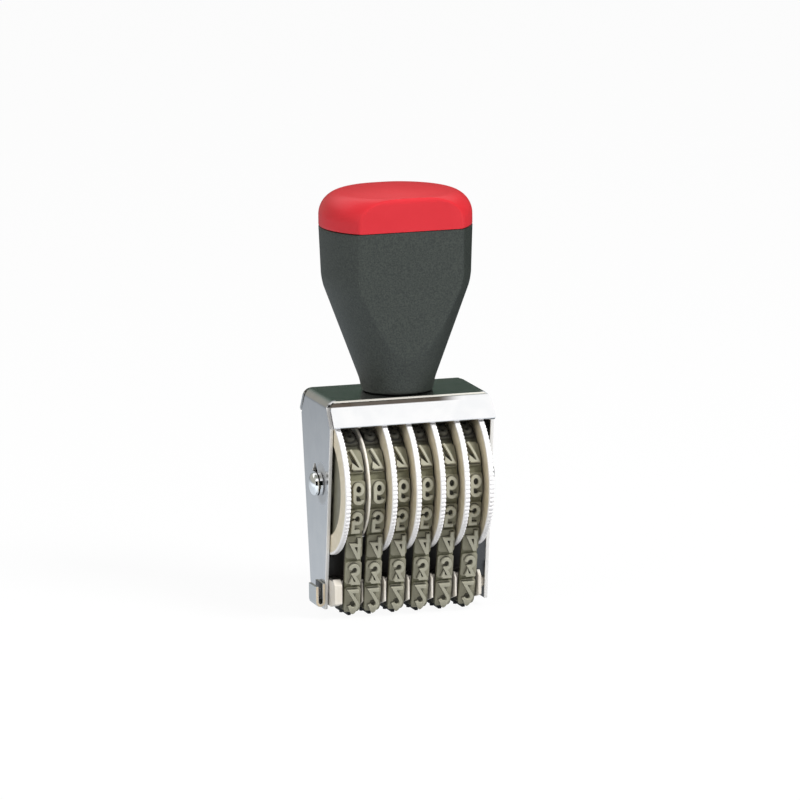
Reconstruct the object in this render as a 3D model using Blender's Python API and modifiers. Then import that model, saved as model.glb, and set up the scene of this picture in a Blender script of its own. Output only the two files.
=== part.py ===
"""Six-band rubber number stamp: a bent sheet frame, six thumb wheels on one axle, six type bands
that run round the wheels and a finned bridge, and a flat-sided handle with a push-fit cap.
Metres. X runs along the axle, -Y is the side with the thumb wheels, +Z is up, and z = 0 is the
face of the type that meets the paper."""

import math

import bmesh
import bpy
from mathutils import Matrix, Vector

# Clearances that every joint between two pieces shares
seat_gap = 0.00015
running_gap = 0.0003
overrun = 0.002
weld = 0.000001

# Type bands: moulded rubber loops with a raised figure block on each pad
band_count = 6
pad_count = 15
band_width = 0.0037
band_thickness = 0.0019
cord_depth = 0.0001
notch_depth = 0.0011
notch_half_width = 0.00042
type_relief = 0.00055
type_margin = 0.0005
type_draft = 0.000125
drum_wrap_slope = math.radians(16.7)
bottom_corner = 0.0005
band_phase = 0.0010

# Thumb wheels: a broad flange for the thumb beside a drum that carries the band
wheel_radius = 0.01575
flange_thickness = 0.0012
drum_radius = 0.0102
axle_play = 0.0001
rim_chamfer = 0.0002
band_side_gap = 0.000315
drum_end_gap = 0.0002
first_band_gap = 0.0007
wheel_sides = 48

# Separator disc between the first wheel and the other five
separator_radius = 0.0129
separator_thickness = 0.0005
second_band_gap = 0.000115

# Axle, its two screws and the collar that takes up the spare width
axle_radius = 0.0020
axle_forward = 0.0039
axle_above_foot = 0.0280
screw_shank = 0.00115
screw_bite = 0.0042
screw_head_radius = 0.0024
screw_head_height = 0.0018
screw_neck = 0.0008
screw_neck_radius = 0.0017
screw_head_round = 0.0006
screw_slot_width = 0.0008
screw_slot_depth = 0.0007
collar_radius = 0.0034
collar_length = 0.0016

# Frame: one bent sheet with a roof, two side plates and two leaning aprons
sheet = 0.0008
foot_lift = 0.0016
head_room = 0.00059
side_bend = 0.0020
foot_depth = 0.0100
shoulder_depth = 0.0221
shoulder_drop = 0.00594
cheek_depth = 0.0164
cheek_drop = 0.00154
roof_depth = 0.0185
apron_lean = math.radians(33.5)
apron_inner_fold = 0.0002
apron_room = 0.00027
apron_end_gap = 0.0003
window_width = 0.0042
window_crest = 0.0009
window_height = 0.0019
window_gap = 0.0006
window_back = 0.0010

# Bridge: a moulded bar inside the bands with a fin beside each of them
bridge_top = 0.0070
end_block_width = 0.00175
fin_thickness = 0.00075
slim_fin = 0.00045
fin_draw = 0.00011
fin_inset = 0.0002
fin_half_depth = 0.0061
fin_rise = 0.0003
fin_foot = 0.00085
fin_chamfer = 0.0011
thin_fin = 0.0004
thin_fin_setback = 0.0014
fin_to_band = 0.0004
block_to_band = 0.00085
web_thickness = 0.0006
web_rise = 0.0046
tab_under_disc = 0.0006
tab_setback = 0.0004
tenon_depth = 0.0022
tenon_height = 0.0020
tenon_setback = 0.0005
tenon_above_foot = 0.0036

# Clip: a hairpin of spring steel on the bridge's left tenon, outside the left plate
clip_sheet = 0.00065
clip_gap = 0.0009
clip_width = 0.0054
clip_foot = 0.0009
clip_outer_height = 0.0046
clip_inner_height = 0.0052
clip_forward = -0.0001

# Handle: a turned body with two flats, a push-fit cap and a screw from under the roof
neck_radius = 0.0074
grip_radius = 0.0169
grip_draft = 0.0007
cone_height = 0.0240
cap_height = 0.0086
handle_height = 0.0453
shoulder_blend = 0.0040
blend_rise = 0.0003
blend_start_share = 0.5
blend_end_share = 0.25
cap_fillet = 0.0052
cap_dome = 0.0010
crown_shares = (0.0, 0.35, 0.7)
flat_at_foot = 0.0099
flat_at_seam = 0.0120
flat_round = 0.0022
handle_wall = 0.0018
boss_cover = 0.0030
spigot_height = 0.0030
spigot_wall = 0.0014
handle_sides = 40
handle_screw_radius = 0.0020
handle_screw_bite = 0.0090
handle_screw_tip_gap = 0.0006
handle_screw_head = 0.0038
handle_screw_head_height = 0.0012
washer_radius = 0.0050
washer_thickness = 0.0005

small_sides = 20
head_steps = 4
arc_steps = 6
fold_steps = 3

# Bores and folds, worked out from what goes through or round them
wheel_bore = axle_radius + axle_play
axle_bore = screw_shank + seat_gap
screw_hole = screw_shank + seat_gap
washer_bore = handle_screw_radius + running_gap
apron_fold = sheet + apron_inner_fold

# Places along the axle, worked out from what stands on it
wheel_pitch = flange_thickness + band_width + 2 * band_side_gap
first_drum = first_band_gap + band_width + drum_end_gap
second_wheel = second_band_gap + band_width + band_side_gap + flange_thickness
first_stack = seat_gap + flange_thickness + first_drum + drum_end_gap + separator_thickness
other_stack = second_wheel + wheel_pitch * (band_count - 2)
inner_half_width = (first_stack + other_stack + seat_gap + collar_length + seat_gap) / 2
half_width = inner_half_width + sheet
first_wheel_left = -inner_half_width + seat_gap
first_flange_edge = first_wheel_left + flange_thickness
separator_x = first_flange_edge + first_drum + drum_end_gap
second_wheel_edge = separator_x + separator_thickness + second_wheel
last_wheel_edge = second_wheel_edge + wheel_pitch * (band_count - 2)
wheel_edges = [first_flange_edge] + [second_wheel_edge + wheel_pitch * i for i in range(band_count - 1)]

# Places along the bridge
bridge_left = -inner_half_width + seat_gap
end_block_edge = bridge_left + end_block_width
fin_pitch = wheel_pitch - fin_draw
last_fin_edge = last_wheel_edge - fin_inset
fin_edges = [last_fin_edge - fin_pitch * (band_count - 1 - i) for i in range(band_count)]
foot_places = [edge - fin_thickness - fin_to_band - band_width / 2 for edge in fin_edges]
foot_places[0] = end_block_edge + block_to_band + band_width / 2

# Heights above the type and places fore and aft
screw_stack = seat_gap + washer_thickness + seat_gap + handle_screw_head_height
frame_height = axle_above_foot + wheel_radius + head_room + screw_stack + sheet
axle_height = foot_lift + axle_above_foot
roof_height = foot_lift + frame_height
handle_foot = roof_height + seat_gap
boss_height = handle_screw_bite + handle_screw_tip_gap + boss_cover
grip_height = handle_height - cap_height
shoulder_radius = grip_radius - grip_draft
fin_top = bridge_top + fin_rise
band_floor = type_relief + band_thickness
band_inner_radius = drum_radius + running_gap

# The apron's straight run ends where its inner edge comes as near the wheels as its clearance lets it
apron_down = Vector((math.sin(apron_lean), -math.cos(apron_lean)))
apron_out = Vector((math.cos(apron_lean), math.sin(apron_lean)))
apron_hinge = Vector((roof_depth / 2, roof_height - apron_fold))
inner_start = apron_hinge + apron_out * (apron_fold - sheet) - Vector((axle_forward, axle_height))
toward = inner_start.dot(apron_down)
spare = inner_start.length_squared - (wheel_radius + apron_room) ** 2
apron_run = -toward - math.sqrt(toward * toward - spare)
apron_y = (apron_hinge + apron_out * apron_fold + apron_down * apron_run).x
centre_shift = (axle_forward + wheel_radius - apron_y) / 2
axle_y = centre_shift - axle_forward
tenon_y = axle_y + tenon_setback
tenon_z = foot_lift + tenon_above_foot


def new_collection(name):
    made = bpy.data.collections.new(name)
    bpy.context.scene.collection.children.link(made)
    return made


for old in list(bpy.data.objects):
    bpy.data.objects.remove(old, do_unlink=True)
parts = new_collection("number_stamp")
cutters = new_collection("cutters")


def finish_material(name, colour, roughness, metallic):
    made = bpy.data.materials.new(name)
    made.use_nodes = True
    shader = made.node_tree.nodes["Principled BSDF"]
    shader.inputs["Base Color"].default_value = (*colour, 1.0)
    shader.inputs["Roughness"].default_value = roughness
    shader.inputs["Metallic"].default_value = metallic
    return made


nickel = finish_material("nickel_plate", (0.62, 0.64, 0.66), 0.28, 1.0)
steel = finish_material("bright_steel", (0.66, 0.67, 0.68), 0.25, 1.0)
spring_steel = finish_material("spring_steel", (0.58, 0.56, 0.50), 0.35, 1.0)
ivory = finish_material("ivory_plastic", (0.86, 0.84, 0.80), 0.40, 0.0)
rubber = finish_material("grey_rubber", (0.27, 0.26, 0.21), 0.70, 0.0)
bridge_plastic = finish_material("cream_plastic", (0.72, 0.66, 0.60), 0.45, 0.0)
dark_plastic = finish_material("charcoal_plastic", (0.055, 0.062, 0.058), 0.55, 0.0)
red_plastic = finish_material("red_plastic", (0.70, 0.03, 0.04), 0.35, 0.0)


def keep(obj, material, collection=parts):
    """Files an object in its collection with its material, shaded smooth but for its edges."""
    for home in list(obj.users_collection):
        home.objects.unlink(obj)
    collection.objects.link(obj)
    obj.data.materials.clear()
    obj.data.materials.append(material)
    if collection is cutters:
        obj.hide_render = True
        obj.display_type = "WIRE"
    else:
        obj.data.shade_smooth()
        obj.data.set_sharp_from_angle(angle=math.radians(30))
    return obj


def from_bmesh(name, shape, material, place=(0, 0, 0), collection=parts):
    mesh = bpy.data.meshes.new(name)
    shape.to_mesh(mesh)
    shape.free()
    obj = bpy.data.objects.new(name, mesh)
    obj.location = place
    bpy.context.scene.collection.objects.link(obj)
    return keep(obj, material, collection)


def arc(centre, radius, start, end, steps=arc_steps):
    """Points on a circle in a plane, from one angle to another in degrees, both ends included."""
    turn = [math.radians(start + (end - start) * i / steps) for i in range(steps + 1)]
    return [(centre[0] + radius * math.cos(a), centre[1] + radius * math.sin(a)) for a in turn]


def extruded(name, outline, along, low, high, material, collection=parts):
    """A prism: a closed flat outline carried along X or Y. The outline's points are (y, z) for X
    and (x, z) for Y."""
    curve = bpy.data.curves.new(name, "CURVE")
    curve.dimensions = "2D"
    curve.fill_mode = "BOTH"
    curve.extrude = (high - low) / 2
    spline = curve.splines.new("POLY")
    spline.points.add(len(outline) - 1)
    for point, (u, v) in zip(spline.points, outline):
        point.co = (u, v, 0, 1)
    spline.use_cyclic_u = True
    guide = bpy.data.objects.new(name + "_outline", curve)
    bpy.context.scene.collection.objects.link(guide)
    middle = (high + low) / 2
    if along == "X":
        turn = Matrix(((0, 0, 1, middle), (1, 0, 0, 0), (0, 1, 0, 0), (0, 0, 0, 1)))
    else:
        turn = Matrix(((1, 0, 0, 0), (0, 0, -1, middle), (0, 1, 0, 0), (0, 0, 0, 1)))
    bpy.context.view_layer.update()
    graph = bpy.context.evaluated_depsgraph_get()
    mesh = bpy.data.meshes.new_from_object(guide.evaluated_get(graph))
    bpy.data.objects.remove(guide, do_unlink=True)
    shape = bmesh.new()
    shape.from_mesh(mesh)
    bmesh.ops.remove_doubles(shape, verts=shape.verts, dist=weld)
    bmesh.ops.transform(shape, matrix=turn, verts=shape.verts)
    bmesh.ops.recalc_face_normals(shape, faces=shape.faces)
    bpy.data.meshes.remove(mesh)
    return from_bmesh(name, shape, material, collection=collection)


def box(name, low, high, material, collection=parts):
    shape = bmesh.new()
    bmesh.ops.create_cube(shape, size=1)
    size = Vector(high) - Vector(low)
    bmesh.ops.scale(shape, vec=size, verts=shape.verts)
    return from_bmesh(name, shape, material, (Vector(low) + Vector(high)) / 2, collection)


def turned(name, profile, closed, sides, material, place=(0, 0, 0), along="Z", collection=parts):
    """A turned piece: a profile of (radius, height) points spun about its own axis. The points run
    down the outside; a closed profile comes back up its bore."""
    mesh = bpy.data.meshes.new(name)
    count = len(profile)
    links = [(i, i + 1) for i in range(count - 1)] + ([(count - 1, 0)] if closed else [])
    mesh.from_pydata([(r, 0, z) for r, z in profile], links, [])
    obj = bpy.data.objects.new(name, mesh)
    bpy.context.scene.collection.objects.link(obj)
    spin = obj.modifiers.new("Turned", "SCREW")
    spin.axis = "Z"
    spin.steps = spin.render_steps = sides
    spin.use_merge_vertices = True
    spin.merge_threshold = weld
    spin.use_smooth_shade = True
    obj.location = place
    if along == "X":
        obj.rotation_euler = (0, math.radians(90), 0)
    for home in list(obj.users_collection):
        home.objects.unlink(obj)
    collection.objects.link(obj)
    mesh.materials.append(material)
    if collection is cutters:
        obj.hide_render = True
        obj.display_type = "WIRE"
    return obj


def combine(obj, operation, others):
    for other in others:
        step = obj.modifiers.new(f"{operation.title()} {other.name}", "BOOLEAN")
        step.operation = operation
        step.object = other
        step.solver = "EXACT"


def tenon_block(name, low_x, high_x, room, material):
    """A cutter along X with the section of the bridge's tenons and some room round it."""
    half_y, half_z = tenon_depth / 2 + room, tenon_height / 2 + room
    low = (low_x, tenon_y - half_y, tenon_z - half_z)
    high = (high_x, tenon_y + half_y, tenon_z + half_z)
    return box(name, low, high, material, cutters)


def make_frame():
    """The bent sheet: a U of roof and side plates trimmed to the plates' outline, with an apron
    folded down and outwards along the front and the back of the roof."""
    low, top = foot_lift, roof_height
    outer, inner = side_bend, side_bend - sheet
    corner_x, corner_z = half_width - side_bend, top - side_bend
    outline = [(-half_width, low)]
    outline += arc((-corner_x, corner_z), outer, 180, 90)
    outline += arc((corner_x, corner_z), outer, 90, 0)
    outline += [(half_width, low), (inner_half_width, low)]
    outline += arc((corner_x, corner_z), inner, 0, 90)
    outline += arc((-corner_x, corner_z), inner, 90, 180)
    outline += [(-inner_half_width, low)]
    reach = shoulder_depth / 2 + overrun
    frame = extruded(
        "frame", outline, "Y", centre_shift - reach, centre_shift + reach, nickel
    )

    side = [
        (-foot_depth / 2, low - overrun),
        (-foot_depth / 2, low),
        (-shoulder_depth / 2, top - shoulder_drop),
        (-cheek_depth / 2, top - cheek_drop),
        (-cheek_depth / 2, top + overrun),
    ]
    side += [(-y, z) for y, z in reversed(side)]
    side = [(y + centre_shift, z) for y, z in side]
    reach_x = half_width + overrun
    trim = extruded("side_outline", side, "X", -reach_x, reach_x, nickel, cutters)
    combine(frame, "INTERSECT", [trim])

    outer_end = apron_hinge + apron_out * apron_fold + apron_down * apron_run
    inner_end = outer_end - apron_out * sheet
    stop = math.degrees(apron_lean)
    flap_start = cheek_depth / 2 - overrun
    apron = [(flap_start, top)]
    apron += arc(apron_hinge, apron_fold, 90, stop, fold_steps)
    apron += [tuple(outer_end), tuple(inner_end)]
    apron += arc(apron_hinge, apron_fold - sheet, stop, 90, fold_steps)
    apron += [(flap_start, top - sheet)]
    end_x = half_width - apron_end_gap
    ends = [(-end_x, low)]
    ends += arc((-end_x + side_bend, top - side_bend), side_bend, 180, 90)
    ends += arc((end_x - side_bend, top - side_bend), side_bend, 90, 0)
    ends += [(end_x, low)]
    for name, sign in (("front_apron", -1), ("back_apron", 1)):
        flap = extruded(
            name, [(sign * y + centre_shift, z) for y, z in apron], "X", -reach_x, reach_x, nickel, cutters
        )
        deep = apron_y + overrun
        stencil = extruded(
            name + "_ends", ends, "Y", centre_shift - deep, centre_shift + deep, nickel, cutters
        )
        combine(flap, "INTERSECT", [stencil])
        combine(frame, "UNION", [flap])

    holes = []
    for name, sign in (("left", -1), ("right", 1)):
        low_x, high_x = sorted((sign * (inner_half_width - overrun), sign * (half_width + overrun)))
        depth = high_x - low_x
        profile = [(0, depth), (screw_hole, depth), (screw_hole, 0), (0, 0)]
        place = (low_x, axle_y, axle_height)
        holes.append(turned(f"{name}_screw_hole", profile, False, small_sides, nickel, place, "X", cutters))
        base = axle_height + screw_head_radius - window_gap
        middle = centre_shift + window_back
        window = [
            (middle - window_width / 2, base),
            (middle + window_width / 2, base),
            (middle + window_crest / 2, base + window_height),
            (middle - window_crest / 2, base + window_height),
        ]
        holes.append(extruded(f"{name}_window", window, "X", low_x, high_x, nickel, cutters))
        holes.append(tenon_block(f"{name}_tenon_hole", low_x, high_x, seat_gap, nickel))
    bore = handle_screw_radius + seat_gap
    profile = [(0, sheet + 2 * overrun), (bore, sheet + 2 * overrun), (bore, 0), (0, 0)]
    place = (0, centre_shift, top - sheet - overrun)
    holes.append(turned("handle_screw_hole", profile, False, small_sides, nickel, place, "Z", cutters))
    combine(frame, "DIFFERENCE", holes)


def make_axle():
    """A steel spindle between the plates, tapped at both ends for the two screws, with a collar
    that takes up the width right of the last wheel."""
    end = inner_half_width - seat_gap
    profile = [(axle_radius, end), (axle_radius, -end), (axle_bore, -end), (axle_bore, end)]
    turned("axle", profile, True, small_sides, steel, (0, axle_y, axle_height), "X")
    start, stop = last_wheel_edge + seat_gap, inner_half_width - seat_gap
    profile = [(collar_radius, stop), (collar_radius, start), (wheel_bore, start), (wheel_bore, stop)]
    turned("axle_collar", profile, True, small_sides, steel, (0, axle_y, axle_height), "X")


def make_axle_screw(name, sign, neck):
    """A round-headed screw outside a side plate: a domed head with a cross slot, over a shank that
    sits in the axle's tapped end. The left one's head stands off the plate on a short neck."""
    seat = half_width + seat_gap
    under = seat + neck
    top = under + screw_head_height
    rim = (screw_head_radius - screw_head_round, top - screw_head_round)
    tip = inner_half_width - screw_bite
    profile = [(0, top)]
    profile += arc(rim, screw_head_round, 90, 0, head_steps)
    profile.append((screw_head_radius, under))
    if neck:
        profile += [(screw_neck_radius, under), (screw_neck_radius, seat)]
    profile += [(screw_shank, seat), (screw_shank, tip), (0, tip)]
    screw = turned(name, profile, False, small_sides, steel, (0, axle_y, axle_height), "X")
    if sign < 0:
        screw.rotation_euler = (0, math.radians(-90), 0)
    floor = sign * (top - screw_slot_depth)
    face = sign * (top + overrun)
    low_x, high_x = min(floor, face), max(floor, face)
    half, reach = screw_slot_width / 2, screw_head_radius + overrun
    across = box(
        name + "_cross_slot",
        (low_x, axle_y - reach, axle_height - half),
        (high_x, axle_y + reach, axle_height + half),
        steel,
        cutters,
    )
    upright = box(
        name + "_upright_slot",
        (low_x, axle_y - half, axle_height - reach),
        (high_x, axle_y + half, axle_height + reach),
        steel,
        cutters,
    )
    combine(screw, "DIFFERENCE", [across, upright])


def make_wheels():
    """Six moulded thumb wheels. The first has its flange on the left of its drum, next to the left
    plate; the other five have theirs on the right."""
    for i, edge in enumerate(wheel_edges):
        if i == 0:
            steps = (first_wheel_left, edge, separator_x - drum_end_gap)
        else:
            before = wheel_edges[i - 1] if i > 1 else separator_x + separator_thickness
            steps = (before + drum_end_gap, edge - flange_thickness, edge)
        middle = (steps[0] + steps[2]) / 2
        a, b, c = (x - middle for x in steps)
        rim = wheel_radius - rim_chamfer
        if i == 0:
            profile = [(drum_radius, c), (drum_radius, b), (rim, b), (wheel_radius, b - rim_chamfer)]
            profile += [(wheel_radius, a + rim_chamfer), (rim, a), (wheel_bore, a), (wheel_bore, c)]
        else:
            profile = [(rim, c), (wheel_radius, c - rim_chamfer), (wheel_radius, b + rim_chamfer)]
            profile += [(rim, b), (drum_radius, b), (drum_radius, a), (wheel_bore, a), (wheel_bore, c)]
        turned(f"wheel_{i + 1}", profile, True, wheel_sides, ivory, (middle, axle_y, axle_height), "X")


def make_separator():
    """A thin disc between the first drum and the second."""
    half = separator_thickness / 2
    profile = [(separator_radius, half), (separator_radius, -half), (wheel_bore, -half), (wheel_bore, half)]
    place = (separator_x + half, axle_y, axle_height)
    turned("separator_disc", profile, True, wheel_sides, ivory, place, "X")


class BandPath:
    """The closed way of a band round its drum and under the bridge, measured along its cord from
    the middle of the flat under the bridge and running up the front."""

    def __init__(self):
        slope = drum_wrap_slope
        cord = cord_depth
        self.drum = band_inner_radius + cord
        self.corner = bottom_corner + cord
        self.floor = band_floor - cord
        corner_z = self.floor + self.corner
        rise = axle_height - corner_z
        shift = (self.drum - self.corner) / math.cos(slope) - rise * math.tan(slope)
        self.flat = 2 * shift
        self.corner_z = corner_z
        self.straight = rise / math.cos(slope) - (self.drum - self.corner) * math.tan(slope)
        self.turn = math.pi / 2 - slope
        self.wrap = math.pi + 2 * slope
        self.lengths = [
            self.flat / 2,
            self.corner * self.turn,
            self.straight,
            self.drum * self.wrap,
            self.straight,
            self.corner * self.turn,
            self.flat / 2,
        ]
        self.length = sum(self.lengths)

    def joints(self):
        """Distances at which the way changes from one stretch to the next."""
        marks, total = [], 0.0
        for piece in self.lengths[:-1]:
            total += piece
            marks.append(total)
        return marks

    def at(self, distance, height):
        """The point (y, z) that lies so far along the cord and so high above the inner face."""
        s = distance % self.length
        slope = drum_wrap_slope
        out = height - cord_depth
        a, b, c, d, e, f, _ = self.lengths
        if s <= a:
            return axle_y - s, self.floor - out
        s -= a
        if s <= b:
            angle = s / self.corner
            r = self.corner + out
            return axle_y - self.flat / 2 - r * math.sin(angle), self.corner_z - r * math.cos(angle)
        s -= b
        side = Vector((-math.cos(slope), -math.sin(slope)))
        up = Vector((-math.sin(slope), math.cos(slope)))
        start = Vector((axle_y - self.flat / 2, self.corner_z)) + side * self.corner
        if s <= c:
            return tuple(start + up * s + side * out)
        s -= c
        if s <= d:
            angle = -slope + s / self.drum
            r = self.drum + out
            return axle_y - r * math.cos(angle), axle_height + r * math.sin(angle)
        s -= d
        y, z = self.at(self.length - (a + b + c + d + s), height)
        return 2 * axle_y - y, z


def pad_height(path, distance):
    """How far the outside of a band stands above its inner face: full on a pad, less in a notch."""
    pitch = path.length / pad_count
    off = (distance + band_phase) % pitch - pitch / 2
    return band_thickness - notch_depth * max(0.0, 1 - abs(off) / notch_half_width)


def make_bands():
    """Six rubber type bands. Each is a loop with a notch between pads, led from its drum to its
    place between the fins of the bridge, and with a raised block where each figure stands."""
    path = BandPath()
    pitch = path.length / pad_count
    stations = []
    for k in range(pad_count):
        middle = k * pitch - band_phase
        half = pitch / 2 - notch_half_width
        stations += [middle - pitch / 2, middle - half, middle - half / 2, middle]
        stations += [middle + half / 2, middle + half]
    for mark in path.joints():
        if all(abs(mark - s % path.length) > notch_half_width / 2 for s in stations):
            stations.append(mark)
    stations = sorted(s % path.length for s in stations)
    top_z, low_z = axle_height - drum_radius, band_floor
    for i, foot_x in enumerate(foot_places):
        if i == 0:
            drum_x = first_flange_edge + first_band_gap + band_width / 2
        else:
            drum_x = wheel_edges[i] - flange_thickness - band_side_gap - band_width / 2
        shape = bmesh.new()
        outer, inner = [], []
        for s in stations:
            for row, height in ((outer, pad_height(path, s)), (inner, 0.0)):
                y, z = path.at(s, height)
                row.append(shape.verts.new((-band_width / 2, y, z)))
        count = len(stations)
        for j in range(count):
            n = (j + 1) % count
            shape.faces.new((outer[j], outer[n], inner[n], inner[j]))
        moved = bmesh.ops.extrude_face_region(shape, geom=list(shape.faces))
        front = [v for v in moved["geom"] if isinstance(v, bmesh.types.BMVert)]
        bmesh.ops.translate(shape, vec=(band_width, 0, 0), verts=front)
        bmesh.ops.recalc_face_normals(shape, faces=shape.faces)
        for k in range(pad_count):
            top = []
            reach = pitch / 2 - notch_half_width
            for j in range(count):
                n = (j + 1) % count
                span = (stations[n] - stations[j]) % path.length
                centre = stations[j] + span / 2
                off = (centre - (k * pitch - band_phase) + path.length / 2) % path.length
                if abs(off - path.length / 2) >= reach:
                    continue
                ends = {outer[j], outer[n]}
                top += [f for f in shape.faces if ends <= set(f.verts) and abs(f.normal.x) < 0.5]
            bmesh.ops.inset_region(shape, faces=top, thickness=type_margin, use_even_offset=True)
            bmesh.ops.inset_region(
                shape, faces=top, thickness=type_draft, depth=type_relief, use_even_offset=True
            )
        for vert in shape.verts:
            share = min(1.0, max(0.0, (top_z - vert.co.z) / (top_z - low_z)))
            vert.co.x += drum_x + (foot_x - drum_x) * share
        from_bmesh(f"band_{i + 1}", shape, rubber)


def make_bridge():
    """The moulded bar that the bands run over: a tapered core with a block at its left end, a fin
    beside each band, an upright web between the front and back runs with a tab up to the disc, and
    a tenon in each side plate. The left one goes on through the clip."""
    path = BandPath()
    low = band_floor + running_gap
    top = foot_lift + bridge_top
    slope = math.tan(drum_wrap_slope)
    lean = running_gap / math.cos(drum_wrap_slope)
    wide = path.flat / 2 + (path.corner - cord_depth) - lean
    tall = wide + (top - low) * slope
    core_outline = [(-wide, low), (wide, low), (tall, top), (-tall, top)]
    core_outline = [(y + axle_y, z) for y, z in core_outline]
    bridge = extruded("bridge", core_outline, "X", bridge_left, last_fin_edge, bridge_plastic)
    foot, crown = foot_lift + fin_foot, foot_lift + fin_top
    half, cut = fin_half_depth, fin_chamfer

    def fin_outline(setback):
        reach = half - setback
        points = [
            (-wide, foot),
            (wide, foot),
            (reach, foot + cut),
            (reach, crown - cut),
            (reach - cut, crown),
            (cut - reach, crown),
            (-reach, crown - cut),
            (-reach, foot + cut),
        ]
        return [(y + axle_y, z) for y, z in points]

    thin_edge = (foot_places[0] + foot_places[1] + thin_fin) / 2
    fins = [(bridge_left, end_block_edge, 0.0), (thin_edge - thin_fin, thin_edge, thin_fin_setback)]
    fins += [(edge - fin_thickness, edge - fin_thickness + slim_fin, 0.0) for edge in fin_edges[1:-1]]
    fins.append((last_fin_edge - fin_thickness, last_fin_edge, 0.0))
    pieces = [
        extruded(f"fin_{n}", fin_outline(setback), "X", a, b, bridge_plastic, cutters)
        for n, (a, b, setback) in enumerate(fins)
    ]
    web = web_thickness / 2
    web_outline = [(-web, top - overrun), (web, top - overrun), (web, top + web_rise), (-web, top + web_rise)]
    web_outline = [(y + axle_y, z) for y, z in web_outline]
    pieces.append(extruded("web", web_outline, "X", bridge_left, last_fin_edge, bridge_plastic, cutters))
    tab_top = axle_height - separator_radius - tab_under_disc
    tab_left = first_flange_edge + tab_setback
    tab_right = wheel_edges[1] - flange_thickness - tab_setback
    pieces.append(
        box("tab", (tab_left, axle_y - web, top), (tab_right, axle_y + web, tab_top), bridge_plastic, cutters)
    )
    tip = -half_width - seat_gap - clip_sheet
    pieces.append(tenon_block("tenons", tip, half_width, 0.0, bridge_plastic))
    combine(bridge, "UNION", pieces)


def make_clip():
    """A hairpin of spring steel on the bridge's left tenon: its inner leg lies against the plate
    round the tenon, and its outer leg stands off and covers the tenon's end."""
    inner_face = half_width + seat_gap
    bend = clip_gap / 2
    middle = inner_face + clip_sheet + bend
    low = foot_lift + clip_foot + clip_sheet + bend
    top_in = foot_lift + clip_foot + clip_inner_height
    top_out = foot_lift + clip_foot + clip_outer_height
    outline = [(inner_face, top_in)]
    outline += arc((middle, low), bend + clip_sheet, 180, 360)
    outline += [(middle + bend + clip_sheet, top_out), (middle + bend, top_out)]
    outline += arc((middle, low), bend, 360, 180)
    outline += [(inner_face + clip_sheet, top_in)]
    outline = [(-x, z) for x, z in outline]
    low_y = axle_y - clip_forward - clip_width / 2
    clip = extruded("bridge_clip", outline, "Y", low_y, low_y + clip_width, spring_steel)
    hole = tenon_block("bridge_clip_hole", -middle, overrun - inner_face, seat_gap, spring_steel)
    combine(clip, "DIFFERENCE", [hole])


def handle_profile(inset, low, high):
    """Radius and height points of the turned handle between two heights over its foot, drawn in
    from the outer face by an inset, from the top down."""
    crown_r = grip_radius - cap_fillet
    fillet_z = handle_height - cap_dome - cap_fillet
    fillet = cap_fillet - inset
    drawn = [(crown_r * share, handle_height - inset - cap_dome * share**2) for share in crown_shares]
    drawn += arc((crown_r, fillet_z), fillet, 90, 0)
    slope = (shoulder_radius - neck_radius) / cone_height
    blend = shoulder_blend
    flank = [
        (grip_radius, grip_height),
        (shoulder_radius + blend_rise, cone_height + blend),
        (shoulder_radius, cone_height + blend * blend_end_share),
        (shoulder_radius - slope * blend * blend_start_share, cone_height - blend * blend_start_share),
        (neck_radius, 0.0),
    ]
    drawn += [(r - inset, z) for r, z in flank]
    kept = [drawn[0]] if drawn[0][1] < high else []
    for (r1, z1), (r2, z2) in zip(drawn, drawn[1:]):
        for limit in (high, low):
            if z2 < limit < z1:
                kept.append((r1 + (r2 - r1) * (z1 - limit) / (z1 - z2), limit))
        if low <= z2 <= high:
            kept.append((r2, z2))
    return kept


def handle_slab(name, inset, collection=cutters):
    """The flats of the handle as a slab through it, rounded over along its top edges."""
    foot, seam, top = 0.0, grip_height, handle_height + overrun
    low = flat_at_foot - inset
    high = flat_at_seam - inset
    slope = (high - low) / (seam - foot)
    crown_z = handle_height - inset - flat_round
    crown = low + slope * crown_z
    side = [(low - slope * overrun, -overrun)]
    turn = [(crown - flat_round + flat_round * math.cos(a), crown_z + flat_round * math.sin(a))
            for a in (math.radians(90 * i / arc_steps) for i in range(arc_steps + 1))]
    side += turn
    outline = side + [(-y, z) for y, z in reversed(side)]
    outline = [(y + centre_shift, z + handle_foot) for y, z in outline]
    reach = grip_radius + overrun
    return extruded(name, outline, "X", -reach, reach, dark_plastic, collection)


def solid_profile(points):
    """Closes a turned profile onto its axis above and below."""
    if points[0][0] > 0:
        points = [(0.0, points[0][1])] + points
    return points + [(0.0, points[-1][1])]


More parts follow.
